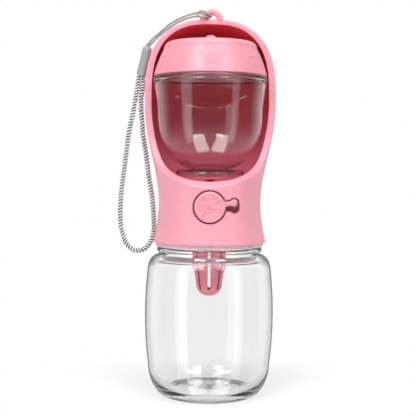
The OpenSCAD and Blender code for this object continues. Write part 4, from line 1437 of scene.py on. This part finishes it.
class TRAVELBOTTLE_OT_button(Build, bpy.types.Operator):
    """Lock button with its side tab and a paw print on its face"""

    bl_idname = "travel_bottle.button"
    bl_label = "Lock button"

    def execute(self, context):
        h, b, tints = settings(context, "head"), settings(context, "button"), self.tints(context)
        relief = settings(context, "cup").paw_relief
        outline = keyhole(b, 0.0, b.tab_turn, b.tab_turn)
        pads, line_w = paw_pads((0.3, -0.1), 14.2, math.radians(11)), 0.32

        def front(points, depth, lift):
            z = b.centre_z + points[:, 1]
            y = -np.sqrt(head_radius(h, z) ** 2 - points[:, 0] ** 2) + depth - lift - b.proud
            return np.stack([points[:, 0], y, z], 1)

        edge = ((0.2, 1.3), (0.25, 0.78), (0.34, 0.54), (0.6, 0.36), (0.95, 0.17), (1.2, 0.05), (1.45, 0.0))
        loops = [offset_inward(outline, inward) for inward, _ in edge]
        count = len(outline)
        rows = [front(loop, depth, 0) for loop, (_, depth) in zip(loops, edge)]
        back_y = -(h.waist_r - b.thickness)
        back = np.stack(
            [outline[:, 0], -np.sqrt(back_y**2 - outline[:, 0] ** 2), b.centre_z + outline[:, 1]], 1
        )
        walls = np.array([back, *rows])
        # The face inside the rounded edge is a fine net, so that the print can stand out of it
        step = 0.27
        low, high = loops[-1].min(0), loops[-1].max(0)
        net = np.stack(np.meshgrid(*(np.arange(low[k], high[k], step) for k in (0, 1))), -1).reshape(-1, 2)
        net = net[inside(net, offset_inward(loops[-1], 0.16))]
        flat = np.concatenate([loops[-1], net])
        ring = [(i, (i + 1) % count) for i in range(count)]
        spots, _, cells, _, _, _ = delaunay_2d_cdt([tuple(p) for p in flat], ring, [], 1, 1e-6)
        spots = np.array([tuple(p) for p in spots])
        line, on_pad = paw_relief(spots, pads, line_w)
        face = front(spots, 0.0, 1.6 * relief * line - 0.1 * on_pad)
        face[:count] = rows[-1]
        faces = grid_faces(len(walls), count, wrap=True)
        faces += [[i + len(walls) * count for i in cell] for cell in cells] + [list(range(count))[::-1]]
        mesh = raw_mesh(np.concatenate([walls.reshape(-1, 3), face]), faces)
        weld(mesh)
        where = read(mesh.vertices, "co") / MM
        on_pad = paw_relief(where[:, (0, 2)] - (0, b.centre_z), pads, line_w)[1]
        tone_pads(mesh, on_pad * (where[:, 1] < back_y + 1))
        plain = moulded_plastic("button_plastic", tints.button, 0.26, zones=pad_tones(tints.button))
        mesh.materials.append(plain)
        hub_y, hub_end, hub_r, hub_bore = -23.9, back_y - 0.8, 4.0, 2.55
        profile = [(hub_bore, hub_y), (hub_r - 0.3, hub_y), (hub_r, hub_y - 0.3)]
        profile += [(hub_r, hub_end), (hub_bore, hub_end)]
        hub = turned(profile, 40, plain, closed=True)
        hub.transform(Matrix.Translation((0, 0, b.centre_z * MM)) @ Matrix.Rotation(-math.pi / 2, 4, "X"))
        made = joined("lock_button_face", [mesh, hub])
        shade(made.data, 40)
        stand_in(made, "button", "button_plastic", "lock_button")
        return {"FINISHED"}


class TRAVELBOTTLE_OT_food_cup(Build, bpy.types.Operator):
    """Clear food cup with its foot ring, threaded neck and rounded shoulder"""

    bl_idname = "travel_bottle.food_cup"
    bl_label = "Food cup"

    def execute(self, context):
        s = settings(context, "cup")
        side_r = s.cup_r - 1.8

        def bowl(inset):
            curve = quarter(s.side_z, side_r - inset, -(s.side_z - s.bowl_z - inset), 2.6, 40)[::-1]
            top = s.top_z - 1.6 - inset / 2
            return curve + [
                (side_r - inset + (s.cup_r - side_r) * t, s.side_z + (top - s.side_z) * t)
                for t in np.linspace(0, 1, 8)[1:]
            ]

        rim = s.top_z + s.neck_h
        bore = s.neck_r - s.wall
        outer = [p for p in bowl(0) if p[1] > s.bowl_z + 0.75]
        outer += arc(s.cup_r - 1.6, s.top_z - 1.6, 1.6, 6, 86, 8)
        outer += [(s.neck_r + 0.5, s.top_z), (s.neck_r, s.top_z + 0.5), (s.neck_r, rim - 0.5)]
        outer += arc(s.neck_r - 0.5, rim - 0.5, 0.5, 20, 90, 3)
        inner = arc(bore + 0.4, rim - 0.4, 0.4, 90, 180, 3) + [(bore, s.top_z - 1.2)]
        inner += [(bore + 0.5, s.top_z - s.wall)]
        inner += arc(s.cup_r - s.wall - 1.6, s.top_z - s.wall - 1.2, 1.2, 84, 8, 6)
        inner += bowl(s.wall)[::-1][1:]
        web_z = s.bowl_z + 0.7
        foot = [(0.0, s.bowl_z - 0.5)]
        foot += [(r, s.bowl_z - 0.5 - 0.22 * (i % 2)) for i, r in enumerate(np.arange(6.0, s.foot_r - 2, 0.8))]
        foot += [(s.foot_r - 2.0, s.bowl_z - 0.6), (s.foot_r - 1.6, s.bowl_z - 1.0)]
        foot += [(s.foot_r - 1.6, s.foot_z + 0.3), (s.foot_r - 1.3, s.foot_z), (s.foot_r - 0.3, s.foot_z)]
        foot += [(s.foot_r, s.foot_z + 0.3)]
        foot += [(s.foot_r - 0.18 * (i % 2), s.foot_z + 0.9 + 0.5 * i) for i in range(5)]
        foot += [(s.foot_r, web_z - 0.4), (s.foot_r - 0.4, web_z), (12.0, web_z)]
        clear = clear_plastic("clear_cup_plastic", (0.985, 0.975, 0.975), (0.88, 0.8, 0.82))
        body = turned(foot + outer + inner, 150, clear)
        ridge = thread_ridge(s.neck_r - 0.6, s.neck_r + 0.9, s.top_z + 3, 8, 0, 150, 1.8, 0.7)
        ridges = grown(ring_tree(), ridge, Count=2, Material=clear)
        made = joined("clear_food_cup", [body, ridges])
        shade(made.data, 35)
        stand_in(made, "cup", "clear_plastic", "food_cup")
        return {"FINISHED"}


class TRAVELBOTTLE_OT_cup_lid(Build, bpy.types.Operator):
    """Screw lid with a domed grip and paw prints raised round its side"""

    bl_idname = "travel_bottle.cup_lid"
    bl_label = "Cup lid"

    def execute(self, context):
        s, tints = settings(context, "cup"), self.tints(context)
        base, top = s.top_z + 0.3, s.top_z + 0.3 + s.lid_h
        edge, corner_h = s.cup_r - 0.35, 4.1
        flat = edge - 9.8
        bore = s.neck_r + 1.3
        seat = s.top_z + s.neck_h + 2
        side = lambda h: edge - 0.215 * h - 0.0095 * h * h
        shown = arc(edge - 0.5, base + 0.5, 0.5, -90, -8, 4)
        shown += [(side(h), base + h) for h in np.linspace(0.7, s.lid_h - corner_h, 52)]
        shoulder_w = side(s.lid_h - corner_h) - flat
        shown += [
            (flat + shoulder_w * math.cos(a), top + corner_h * (math.sin(a) - 1))
            for a in np.radians(np.linspace(3, 90, 22))
        ]
        shown = np.array(shown)
        grip_w = s.grip_r + 0.5
        rest = [(18.0, top), (10.0, top), (grip_w + 0.3, top)]
        rest += arc(grip_w + 0.3, top + 0.8, 0.8, -90, -178, 4)[1:]
        rest += [
            (s.grip_r * math.cos(a), top + s.grip_h - 2.2 + 2.2 * math.sin(a))
            for a in np.radians(np.linspace(0, 90, 9))
        ]
        under = top - s.lid_wall
        hidden = [(0.0, under), (flat - 1.5, under), (flat + 1.4, under - 2.6), (bore - 2.6, seat)]
        hidden += [(bore, seat), (bore, base + 0.4), (bore + 0.4, base)]
        profile = np.concatenate([shown, rest, hidden, shown[:1]])
        columns = 720
        turn = np.linspace(0, FULL_TURN, columns, endpoint=False)
        grid = np.stack([
            profile[:, :1] * np.sin(turn), -profile[:, :1] * np.cos(turn),
            np.repeat(profile[:, 1:], columns, 1),
        ], -1)
        rows = len(shown)
        run = run_along(shown)
        slope = np.gradient(shown, axis=0)
        normal = unit(np.stack([slope[:, 1], -slope[:, 0]], 1))
        print_z, print_w, line_w = 9.6, 13.6, 0.33
        middle = np.interp(base + print_z, shown[:, 1], run)
        middle_r = float(side(print_z))
        flat_points = np.stack(np.meshgrid(turn, run, indexing="xy"), -1).reshape(-1, 2)
        line, on_pad = np.zeros(len(flat_points)), np.zeros(len(flat_points))
        for centre, lift, tilt in (
            (1.6, 0.0, 0), (54, -0.6, 38), (-58, 0.6, -30), (112, 0.5, 14), (-118, -0.5, -20), (172, 0.2, 25)
        ):
            away = (flat_points[:, 0] - math.radians(centre) + np.pi) % FULL_TURN - np.pi
            local = np.stack([away * middle_r, flat_points[:, 1] - middle - lift], 1)
            one_line, one_pad = paw_relief(local, paw_pads((0, 0), print_w, math.radians(-tilt)), line_w)
            line, on_pad = np.maximum(line, one_line), np.maximum(on_pad, one_pad)
        raised = (s.paw_relief * line - 0.05 * on_pad).reshape(rows, columns)
        grid[:rows, :, 0] += raised * normal[:, :1] * np.sin(turn)
        grid[:rows, :, 1] -= raised * normal[:, :1] * np.cos(turn)
        grid[:rows, :, 2] += raised * normal[:, 1:]
        grid[-1] = grid[0]
        pad_tone = np.zeros(grid.shape[:2], np.float32)
        pad_tone[:rows] = on_pad.reshape(rows, columns)
        mesh = raw_mesh(grid.reshape(-1, 3), grid_faces(len(profile), columns, wrap=True))
        tone_pads(mesh, pad_tone.reshape(-1))
        weld(mesh, collapse=False)
        soft_pink = moulded_plastic("lid_plastic", tints.lid, tints.gloss, zones=pad_tones(tints.lid))
        mesh.materials.append(soft_pink)
        ridge = thread_ridge(bore + 0.6, bore - 0.9, s.top_z + 1.4, 8, 0, 130, 1.6, 0.6)
        ridges = grown(ring_tree(), ridge, Count=2, Material=soft_pink)
        made = joined("domed_cup_lid", [mesh, ridges])
        shade(made.data, 40)
        stand_in(made, "lid", "lid_plastic", "cup_lid")
        return {"FINISHED"}


class TRAVELBOTTLE_OT_outlet_cover(Build, bpy.types.Operator):
    """Low cover over the valve's outlet, with the slit that lets the water out"""

    bl_idname = "travel_bottle.outlet_cover"
    bl_label = "Outlet cover"

    def execute(self, context):
        s, h, tints = settings(context, "cup"), settings(context, "head"), self.tints(context)
        z0, z1, r = h.floor_z, h.floor_z + s.cover_h, s.cover_r
        profile = [(0, z1)] + arc(r - 0.5, z1 - 0.5, 0.5, 90, 0, 5) + [(r, z0), (r - 1.6, z0)]
        profile += [(r - 1.6, z1 - 1.4), (0, z1 - 1.4)]
        rose = moulded_plastic("cover_plastic", tints.cover, 0.35, specular=0.3)
        body = turned(profile, 128, rose)
        half, low, high = 2.3, z1 - 2.6, z1 - 1.6
        round_r = (high - low) / 2
        outline = arc(half - round_r, low + round_r, round_r, -90, 90, 8)
        outline += arc(-half + round_r, low + round_r, round_r, 90, 270, 8)
        slit = outwards(lofted([[(x, y, z) for x, z in outline] for y in (-r - 1, -r + 3)]))
        made = place("slit_outlet_cover", cut_away(body, slit), [rose], 38)
        stand_in(made, "head", "rose_plastic", "outlet_cover")
        return {"FINISHED"}


class TRAVELBOTTLE_OT_lanyard(Build, bpy.types.Operator):
    """Thin doubled cord, sleeve and knitted wrist loop"""

    bl_idname = "travel_bottle.lanyard"
    bl_label = "Lanyard"

    thin_route = (
        (-39, 4.8, 206.9), (-38.4, 4.5, 209.4), (-36.7, 3.9, 211.6), (-34, 3, 214.2), (-30.7, 2.3, 216.9),
        (-24.8, 1.6, 221.8), (-18.5, 1.2, 225.4), (-13.1, 1, 227.5), (-9.4, 1.2, 228.5), (-6.8, 2, 228.9),
        (-4.6, 2.7, 228.8), (-2.4, 2.9, 228), (-0.7, 2.1, 226.9), (0.2, 0, 226.3), (-0.6, -2, 226.9),
        (-2.6, -2.8, 228), (-4.5, -2.2, 229.1), (-6.4, -1.4, 229.4), (-7.6, -1.2, 228.4), (-7.8, -1.3, 227.2),
        (-6.7, -2.1, 226.3), (-4.9, -2.9, 225.8), (-2.9, -2.7, 225.7), (-1.5, -1.4, 225.7), (-1.1, 0, 225.8),
        (-1.5, 1.4, 225.7), (-2.9, 2.7, 225.8), (-4.9, 2.9, 226.2), (-6.8, 2.2, 226.7), (-9.1, 1.3, 226.7),
        (-12.7, 1, 225.9), (-17.9, 1.2, 224), (-24, 1.6, 220.5), (-29.9, 2.3, 216), (-33.1, 3, 213.1),
        (-35.6, 3.9, 210.7), (-37.2, 4.5, 209), (-37.8, 4.8, 206.6),
    )
    wrist_route = (
        (-42.6, 6.6, 194.6), (-43.2, 7, 192.2), (-44.3, 6.6, 184), (-45.5, 6, 176.5), (-47, 5.4, 167.5),
        (-49, 5, 158), (-50.5, 5, 145.5), (-52, 5, 133.5), (-53.5, 5, 121), (-54, 5, 112), (-54, 5.5, 104),
        (-53, 6, 97), (-50.5, 6.5, 90), (-47, 7, 86.5), (-43.5, 7.5, 85.5), (-39.5, 8, 86.5), (-36, 8.5, 90.5),
        (-34, 9, 97), (-34, 8.5, 105.5), (-35, 7.5, 118), (-37, 6.5, 130.5), (-38.5, 6, 142.5),
        (-40.5, 6, 155), (-41.5, 6.2, 167), (-42, 6.6, 176.5), (-41.2, 7, 184), (-40.8, 7, 191.6), (-40.2, 6.6, 194),
    )

    clamped = 0.32  # The share by which the sleeve draws in the wrist cord's ends

    def pinch(self, count):
        """The wrist cord's width along its length, drawn in at the ends."""
        along = np.linspace(0, 1, count)
        ends = np.minimum(along, 1 - along)
        return 1 - self.clamped * np.clip((0.03 - ends) / 0.026, 0, 1)

    def execute(self, context):
        s, tints = settings(context, "cords"), self.tints(context)
        sleeve_plastic = moulded_plastic("sleeve_plastic", tints.sleeve, 0.5, grain=0.12, clouds=0.04)
        r, h = s.sleeve_r, s.sleeve_h
        profile = [(0, -h), (r - 0.5, -h)] + arc(r - 0.4, -h + 0.4, 0.4, -60, 0, 4)
        profile += [(r - 0.03, -h + 3), (r - 0.2, -3.0)] + arc(r - 2.2, -2.2, 2.0, 8, 80, 8)
        profile += [(0.9, -0.1), (0, -0.1)]
        sleeve = turned(profile, 56, sleeve_plastic)
        lean = Matrix.Rotation(math.radians(13.6), 4, "Y") @ Matrix.Rotation(math.radians(8), 4, "X")
        sleeve.transform(Matrix.Translation((-37.8 * MM, 4.5 * MM, 209.2 * MM)) @ lean)
        sleeve = stand_in(place("cord_sleeve_tube", sleeve, angle=40), "head", "sleeve_plastic", "cord_sleeve")

        thin_d, wrist_d = s.thin_d * MM, s.wrist_d * MM
        thin_path = smooth_path(self.thin_route, 0.3)
        thin = laid_cord(
            "thin_lanyard_cord", thin_path, yarn("thin_cord_yarn", scaled(tints.yarn, 0.42)), "thin_cord_yarn",
            "thin_cord", Strands=3, Turn_length=2.6 * MM, Lay_radius=0.27 * thin_d,
            Strand_width=0.24 * thin_d, Strand_height=0.24 * thin_d, Step=0.2 * MM,
        )
        wrist_path = smooth_path(self.wrist_route, 0.5)
        # Near-black yarn for the cord's core and for the strands laid across under its ribs: painted shade that
        # darkens the gaps between the knitted ribs
        gap_shade_yarn = yarn("wrist_gap_shade_yarn", scaled(tints.yarn, 0.06))
        shade_core = tube(wrist_path[::3], 0.25 * s.wrist_d * self.pinch(len(wrist_path[::3])), 10)
        shade_core.materials.append(gap_shade_yarn)
        turn = 2 * s.rib_step * MM
        across = laid_mesh(
            wrist_path, gap_shade_yarn, Strands=2, Turn_length=-turn, Lay_radius=0.31 * wrist_d,
            Strand_width=0.09 * wrist_d, Strand_height=0.08 * wrist_d, Step=0.18 * MM, Pinch=self.clamped,
        )
        wrist = laid_cord(
            "knitted_wrist_cord", wrist_path, yarn("wrist_cord_yarn", tints.yarn), "wrist_cord_yarn",
            "wrist_loop_cord", [shade_core, across], Strands=2, Turn_length=turn, Lay_radius=0.385 * wrist_d,
            Strand_width=0.125 * wrist_d, Strand_height=0.1 * wrist_d, Step=0.16 * MM, Pinch=self.clamped,
        )
        length = lambda path: float(np.linalg.norm(np.diff(path, axis=0), axis=1).sum()) * MM
        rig.cord(
            thin, exit=(-0.0384, 0.0045, 0.2094), length=length(thin_path), diameter=thin_d,
            far_end="object", stiffness="limp", lay="hanging", path=(thin_path * MM).tolist(),
            with_pieces=[sleeve],
        )
        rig.cord(
            wrist, exit=(-0.042, 0.007, 0.1919), length=length(wrist_path), diameter=wrist_d,
            far_end="object", stiffness="limp", lay="hanging", path=(wrist_path * MM).tolist(),
            with_pieces=[sleeve],
        )
        return {"FINISHED"}


class TRAVELBOTTLE_OT_screws(Build, bpy.types.Operator):
    """Three cross-head screws that hold the valve plate"""

    bl_idname = "travel_bottle.screws"
    bl_label = "Plate screws"

    def execute(self, context):
        head_z, ring_r = 100.0, 20.0
        steel = polished_steel("screw_steel")
        profile = [(0, head_z + 0.35), (0.5, head_z + 0.3)] + arc(1.7, head_z + 0.6, 0.6, -90, 0, 5)
        profile += [(2.3, head_z + 1.5), (1.05, head_z + 1.5), (1.05, head_z + 9.6), (0, head_z + 10.1)]
        screw = turned(profile, 28, steel)
        for turn in (0.0, math.pi / 2):
            corners = ((-1.4, -0.28), (1.4, -0.28), (1.4, 0.28), (-1.4, 0.28))
            bar = outwards(lofted([[(x, y, z) for x, y in corners] for z in (head_z - 1, head_z + 0.8)]))
            bar.transform(Matrix.Rotation(turn, 4, "Z"))
            screw = cut_away(screw, bar)
        screw.transform(Matrix.Translation((ring_r * MM, 0, 0)))
        ring = grown(ring_tree(), screw, Count=3, First_angle=math.radians(-30), Material=steel)
        made = place("cross_head_screws", ring, [steel], 35)
        stand_in(made, "head", "steel", "plate_screws")
        return {"FINISHED"}


class TRAVELBOTTLE_OT_inner_parts(Build, bpy.types.Operator):
    """Finishes for the valve's parts and the seals, which keep their CAD meshes"""

    bl_idname = "travel_bottle.inner_parts"
    bl_label = "Valve and seals"

    def execute(self, context):
        tints = self.tints(context)
        pink = moulded_plastic("valve_plastic", tints.shell, 0.4, grain=0.03)
        well = moulded_plastic("well_plastic", tints.well, 0.4, grain=0.03)
        white = moulded_plastic("plunger_plastic", linear(232, 232, 230), 0.35, grain=0.03)
        silicone = milky_plastic("seal_silicone", linear(236, 232, 230), 0.4, 0.1)
        rubber = moulded_plastic("seal_rubber", linear(45, 45, 47), 0.6, grain=0.15)
        steel = polished_steel("spring_steel")
        finishes = {
            "valve_plate": (pink, "pink_plastic"), "valve_housing": (pink, "pink_plastic"),
            "housing_end_cap": (pink, "pink_plastic"), "button_well": (well, "rose_plastic"),
            "plunger": (white, "white_plastic"), "valve_disc": (silicone, "silicone"),
            "neck_gasket": (silicone, "silicone"), "lid_seal": (silicone, "silicone"),
            "stem_seal": (rubber, "seal_rubber"), "button_spring": (steel, "steel"),
        }
        for name, (material, slot) in finishes.items():
            node = NODES[name]
            node.data.materials.clear()
            node.data.materials.append(material)
            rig.slot(node, slot)
        return {"FINISHED"}


def reflected(graph, path, beyond=0.5):
    """1 for a ray that has bounced off something since the camera, 0 for one that only went through."""
    bounces = graph.math("SUBTRACT", path.outputs["Ray Depth"], path.outputs["Transmission Depth"])
    return graph.math("GREATER_THAN", bounces, beyond)


class TRAVELBOTTLE_OT_stage(Build, bpy.types.Operator):
    """Camera, pale floor, room light and soft lamps"""

    bl_idname = "travel_bottle.stage"
    bl_label = "Stage"

    def lamp(self, name, spot, target, width, height, power, use):
        """A soft lamp that faces its target. Its use says what it lights and what only mirrors it."""
        data = bpy.data.lights.new(name, "AREA")
        data.shape = "RECTANGLE"
        data.size, data.size_y = width, height
        data.energy = power
        made = linked(name, data)
        direction = np.array(target, float) - np.array(spot, float)
        z = -direction / np.linalg.norm(direction)
        x = np.cross((0, 0, 1), z)
        x /= np.linalg.norm(x)
        y = np.cross(z, x)
        made.matrix_world = Matrix((
            (x[0], y[0], z[0], spot[0]), (x[1], y[1], z[1], spot[1]), (x[2], y[2], z[2], spot[2]), (0, 0, 0, 1)
        ))
        made.visible_camera = False
        made.visible_diffuse = use in ("both", "fill")
        made.visible_transmission = use in ("both", "deep streak")
        made.visible_glossy = use != "fill"

    def execute(self, context):
        chosen = context.scene.travel_bottle.stage
        scene = context.scene
        camera = linked("camera", bpy.data.cameras.new("camera"))
        camera.data.lens = chosen.lens
        camera.data.shift_y = chosen.shift
        camera.data.clip_start = 0.01
        camera.matrix_world = (
            Matrix.Translation((-chosen.side, -chosen.distance, chosen.height))
            @ Matrix.Rotation(math.pi / 2 - chosen.pitch, 4, "X")
            @ Matrix.Rotation(chosen.roll, 4, "Z")
        )
        scene.camera = camera
        scene.view_settings.view_transform = "Standard"

        # Floor: its own soft shadow near the bottle, plain white further off
        wide = 3000
        corners = [(-wide, -wide, 0), (wide, -wide, 0), (wide, wide, 0), (-wide, wide, 0)]
        floor = linked("floor", raw_mesh(corners, [(0, 1, 2, 3)]))
        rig.stage(floor)
        material, g, coords, output = blank_material("floor_paper")
        paper = g.node("ShaderNodeBsdfDiffuse", Color=(0.9, 0.9, 0.9, 1)).outputs[0]
        glow, plain = (
            g.node("ShaderNodeEmission", Color=(1, 1, 1, 1), Strength=strength).outputs[0]
            for strength in (0.05, 1.0)
        )
        lit = g.node("ShaderNodeAddShader")
        g.feed(lit.inputs[0], paper)
        g.feed(lit.inputs[1], glow)
        path = g.node("ShaderNodeLightPath")
        bounced = reflected(g, path)
        near, far = 0.05, 0.12
        fading = g.mix(g.span(g.vector("LENGTH", coords), near, far, 0.0, 1.0), lit.outputs[0], plain)
        seen = g.mix(g.math("SUBTRACT", 1.0, bounced), paper, fading)
        # Mirrored rays pass on to the lamps, so that their streaks run down the whole bottle
        mirror = g.math("MULTIPLY", bounced, path.outputs["Is Glossy Ray"])
        passing = g.mix(mirror, seen, g.node("ShaderNodeBsdfTransparent").outputs[0])
        g.feed(output.inputs[0], passing)
        floor.data.materials.append(material)

        # Room: white to the eye and straight through the bottle, and a plain level of light on all surfaces
        world = bpy.data.worlds.new("room")
        scene.world = world
        world.use_nodes = True
        world.node_tree.nodes.clear()
        g = Graph(world.node_tree)
        # In reflections the room is dim in front, pale at the sides and behind, and brighter above and below
        dim, side, back, above, below = chosen.mirrored, 0.85, 0.3, 0.4, 0.75
        heading = g.node("ShaderNodeSeparateXYZ", Vector=g.node("ShaderNodeTexCoord").outputs["Generated"])
        y, z = heading.outputs["Y"], heading.outputs["Z"]
        around = g.math("MINIMUM", g.span(y, 0.1, 0.5, dim, side), g.span(y, 0.83, 0.94, side, back))
        upright = g.math("MAXIMUM", g.span(z, -0.5, -0.15, below, dim), g.span(z, 0.6, 0.9, dim, above))
        white, mirrored, level = (
            g.node("ShaderNodeBackground", Color=(1, 1, 1, 1), Strength=strength).outputs[0]
            for strength in (1.0, g.math("MAXIMUM", around, upright), chosen.world)
        )
        path = g.node("ShaderNodeLightPath")
        # A ray that reaches the room counts one step more than one that meets a surface
        straight = g.mix(reflected(g, path, 1.5), white, mirrored)
        out = g.node("ShaderNodeOutputWorld")
        g.feed(out.inputs[0], g.mix(path.outputs["Is Diffuse Ray"], straight, level))

        # The lamps stand round a point low in the bottle and face its middle.
        # Azimuth and elevation in degrees, then distance, width and height in metres, and watts
        centre, aim = (0, 0, 0.1), (0, 0, 0.13)
        for name, azimuth, elevation, distance, width, height, watts, use in (
            ("high_left_softbox", -27, 46, 1.0, 0.34, 0.5, 4.2, "both"),
            ("high_right_softbox", 33, 46, 1.0, 0.3, 0.5, 2.6, "both"),
            ("left_strip", -50, 0, 1.0, 0.42, 1.5, 2.6, "both"),
            ("right_strip", 54, 0, 1.0, 0.28, 1.5, 1.6, "both"),
            ("overhead_softbox", 0, 80, 1.0, 0.6, 0.6, 3.4, "both"),
            # This one only fills the shade on the back
            ("back_fill", 172, 25, 1.0, 0.6, 0.6, 3.2, "fill"),
            # These four light nothing by diffuse light and only show as streaks, the low ones in the food cup
            ("low_left_streak", -28, -46, 1.8, 0.84, 1.31, 17.5, "deep streak"),
            ("low_right_streak", 31, -46, 1.8, 0.84, 1.31, 17.5, "deep streak"),
            ("left_streak", -33, 50, 1.0, 0.62, 0.7, 3.4, "streak"),
            ("right_streak", 33, 50, 1.0, 0.6, 0.7, 3.2, "streak"),
        ):
            a, e = math.radians(azimuth), math.radians(elevation)
            away = (math.sin(a) * math.cos(e), -math.cos(a) * math.cos(e), math.sin(e))
            spot = [distance * v + base for v, base in zip(away, centre)]
            self.lamp(name, spot, aim, width, height, watts * chosen.lamps, use)
        return {"FINISHED"}


class TRAVELBOTTLE_PT_panel(bpy.types.Panel):
    """Sidebar panel that lists the pieces"""

    bl_idname = "TRAVELBOTTLE_PT_panel"
    bl_label = "Travel bottle"
    bl_space_type = "VIEW_3D"
    bl_region_type = "UI"
    bl_category = "Bottle"

    def draw(self, context):
        layout = self.layout
        chosen = context.scene.travel_bottle
        for operator in OPERATORS:
            layout.operator(operator.bl_idname)
        for name in ("bottle", "head", "button", "cup", "cords", "finishes", "stage"):
            box = layout.box()
            box.label(text=name.capitalize())
            group = getattr(chosen, name)
            for prop in group.bl_rna.properties:
                if prop.identifier not in ("rna_type", "name"):
                    box.prop(group, prop.identifier)


GROUPS = (BottleSizes, HeadSizes, ButtonSizes, CupSizes, CordSizes, Finishes, StageSettings, TravelBottle)
OPERATORS = (
    TRAVELBOTTLE_OT_stage, TRAVELBOTTLE_OT_lanyard, TRAVELBOTTLE_OT_bottle, TRAVELBOTTLE_OT_head_shell,
    TRAVELBOTTLE_OT_lanyard_eye, TRAVELBOTTLE_OT_collar, TRAVELBOTTLE_OT_strainer, TRAVELBOTTLE_OT_button,
    TRAVELBOTTLE_OT_food_cup, TRAVELBOTTLE_OT_cup_lid, TRAVELBOTTLE_OT_outlet_cover, TRAVELBOTTLE_OT_screws,
    TRAVELBOTTLE_OT_inner_parts,
)


def register():
    for cls in (*GROUPS, *OPERATORS, TRAVELBOTTLE_PT_panel):
        bpy.utils.register_class(cls)
    bpy.types.Scene.travel_bottle = bpy.props.PointerProperty(type=TravelBottle)


def unregister():
    del bpy.types.Scene.travel_bottle
    for cls in reversed((*GROUPS, *OPERATORS, TRAVELBOTTLE_PT_panel)):
        bpy.utils.unregister_class(cls)


def main():
    register()
    for operator in OPERATORS:
        group, name = operator.bl_idname.split(".")
        getattr(getattr(bpy.ops, group), name)()
    with open("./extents.json", "w") as out:
        json.dump({"cad": [list(v) for v in CAD_BOX], "visual": [list(v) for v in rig.bounds()]}, out)


if __name__ == "__main__":
    main()
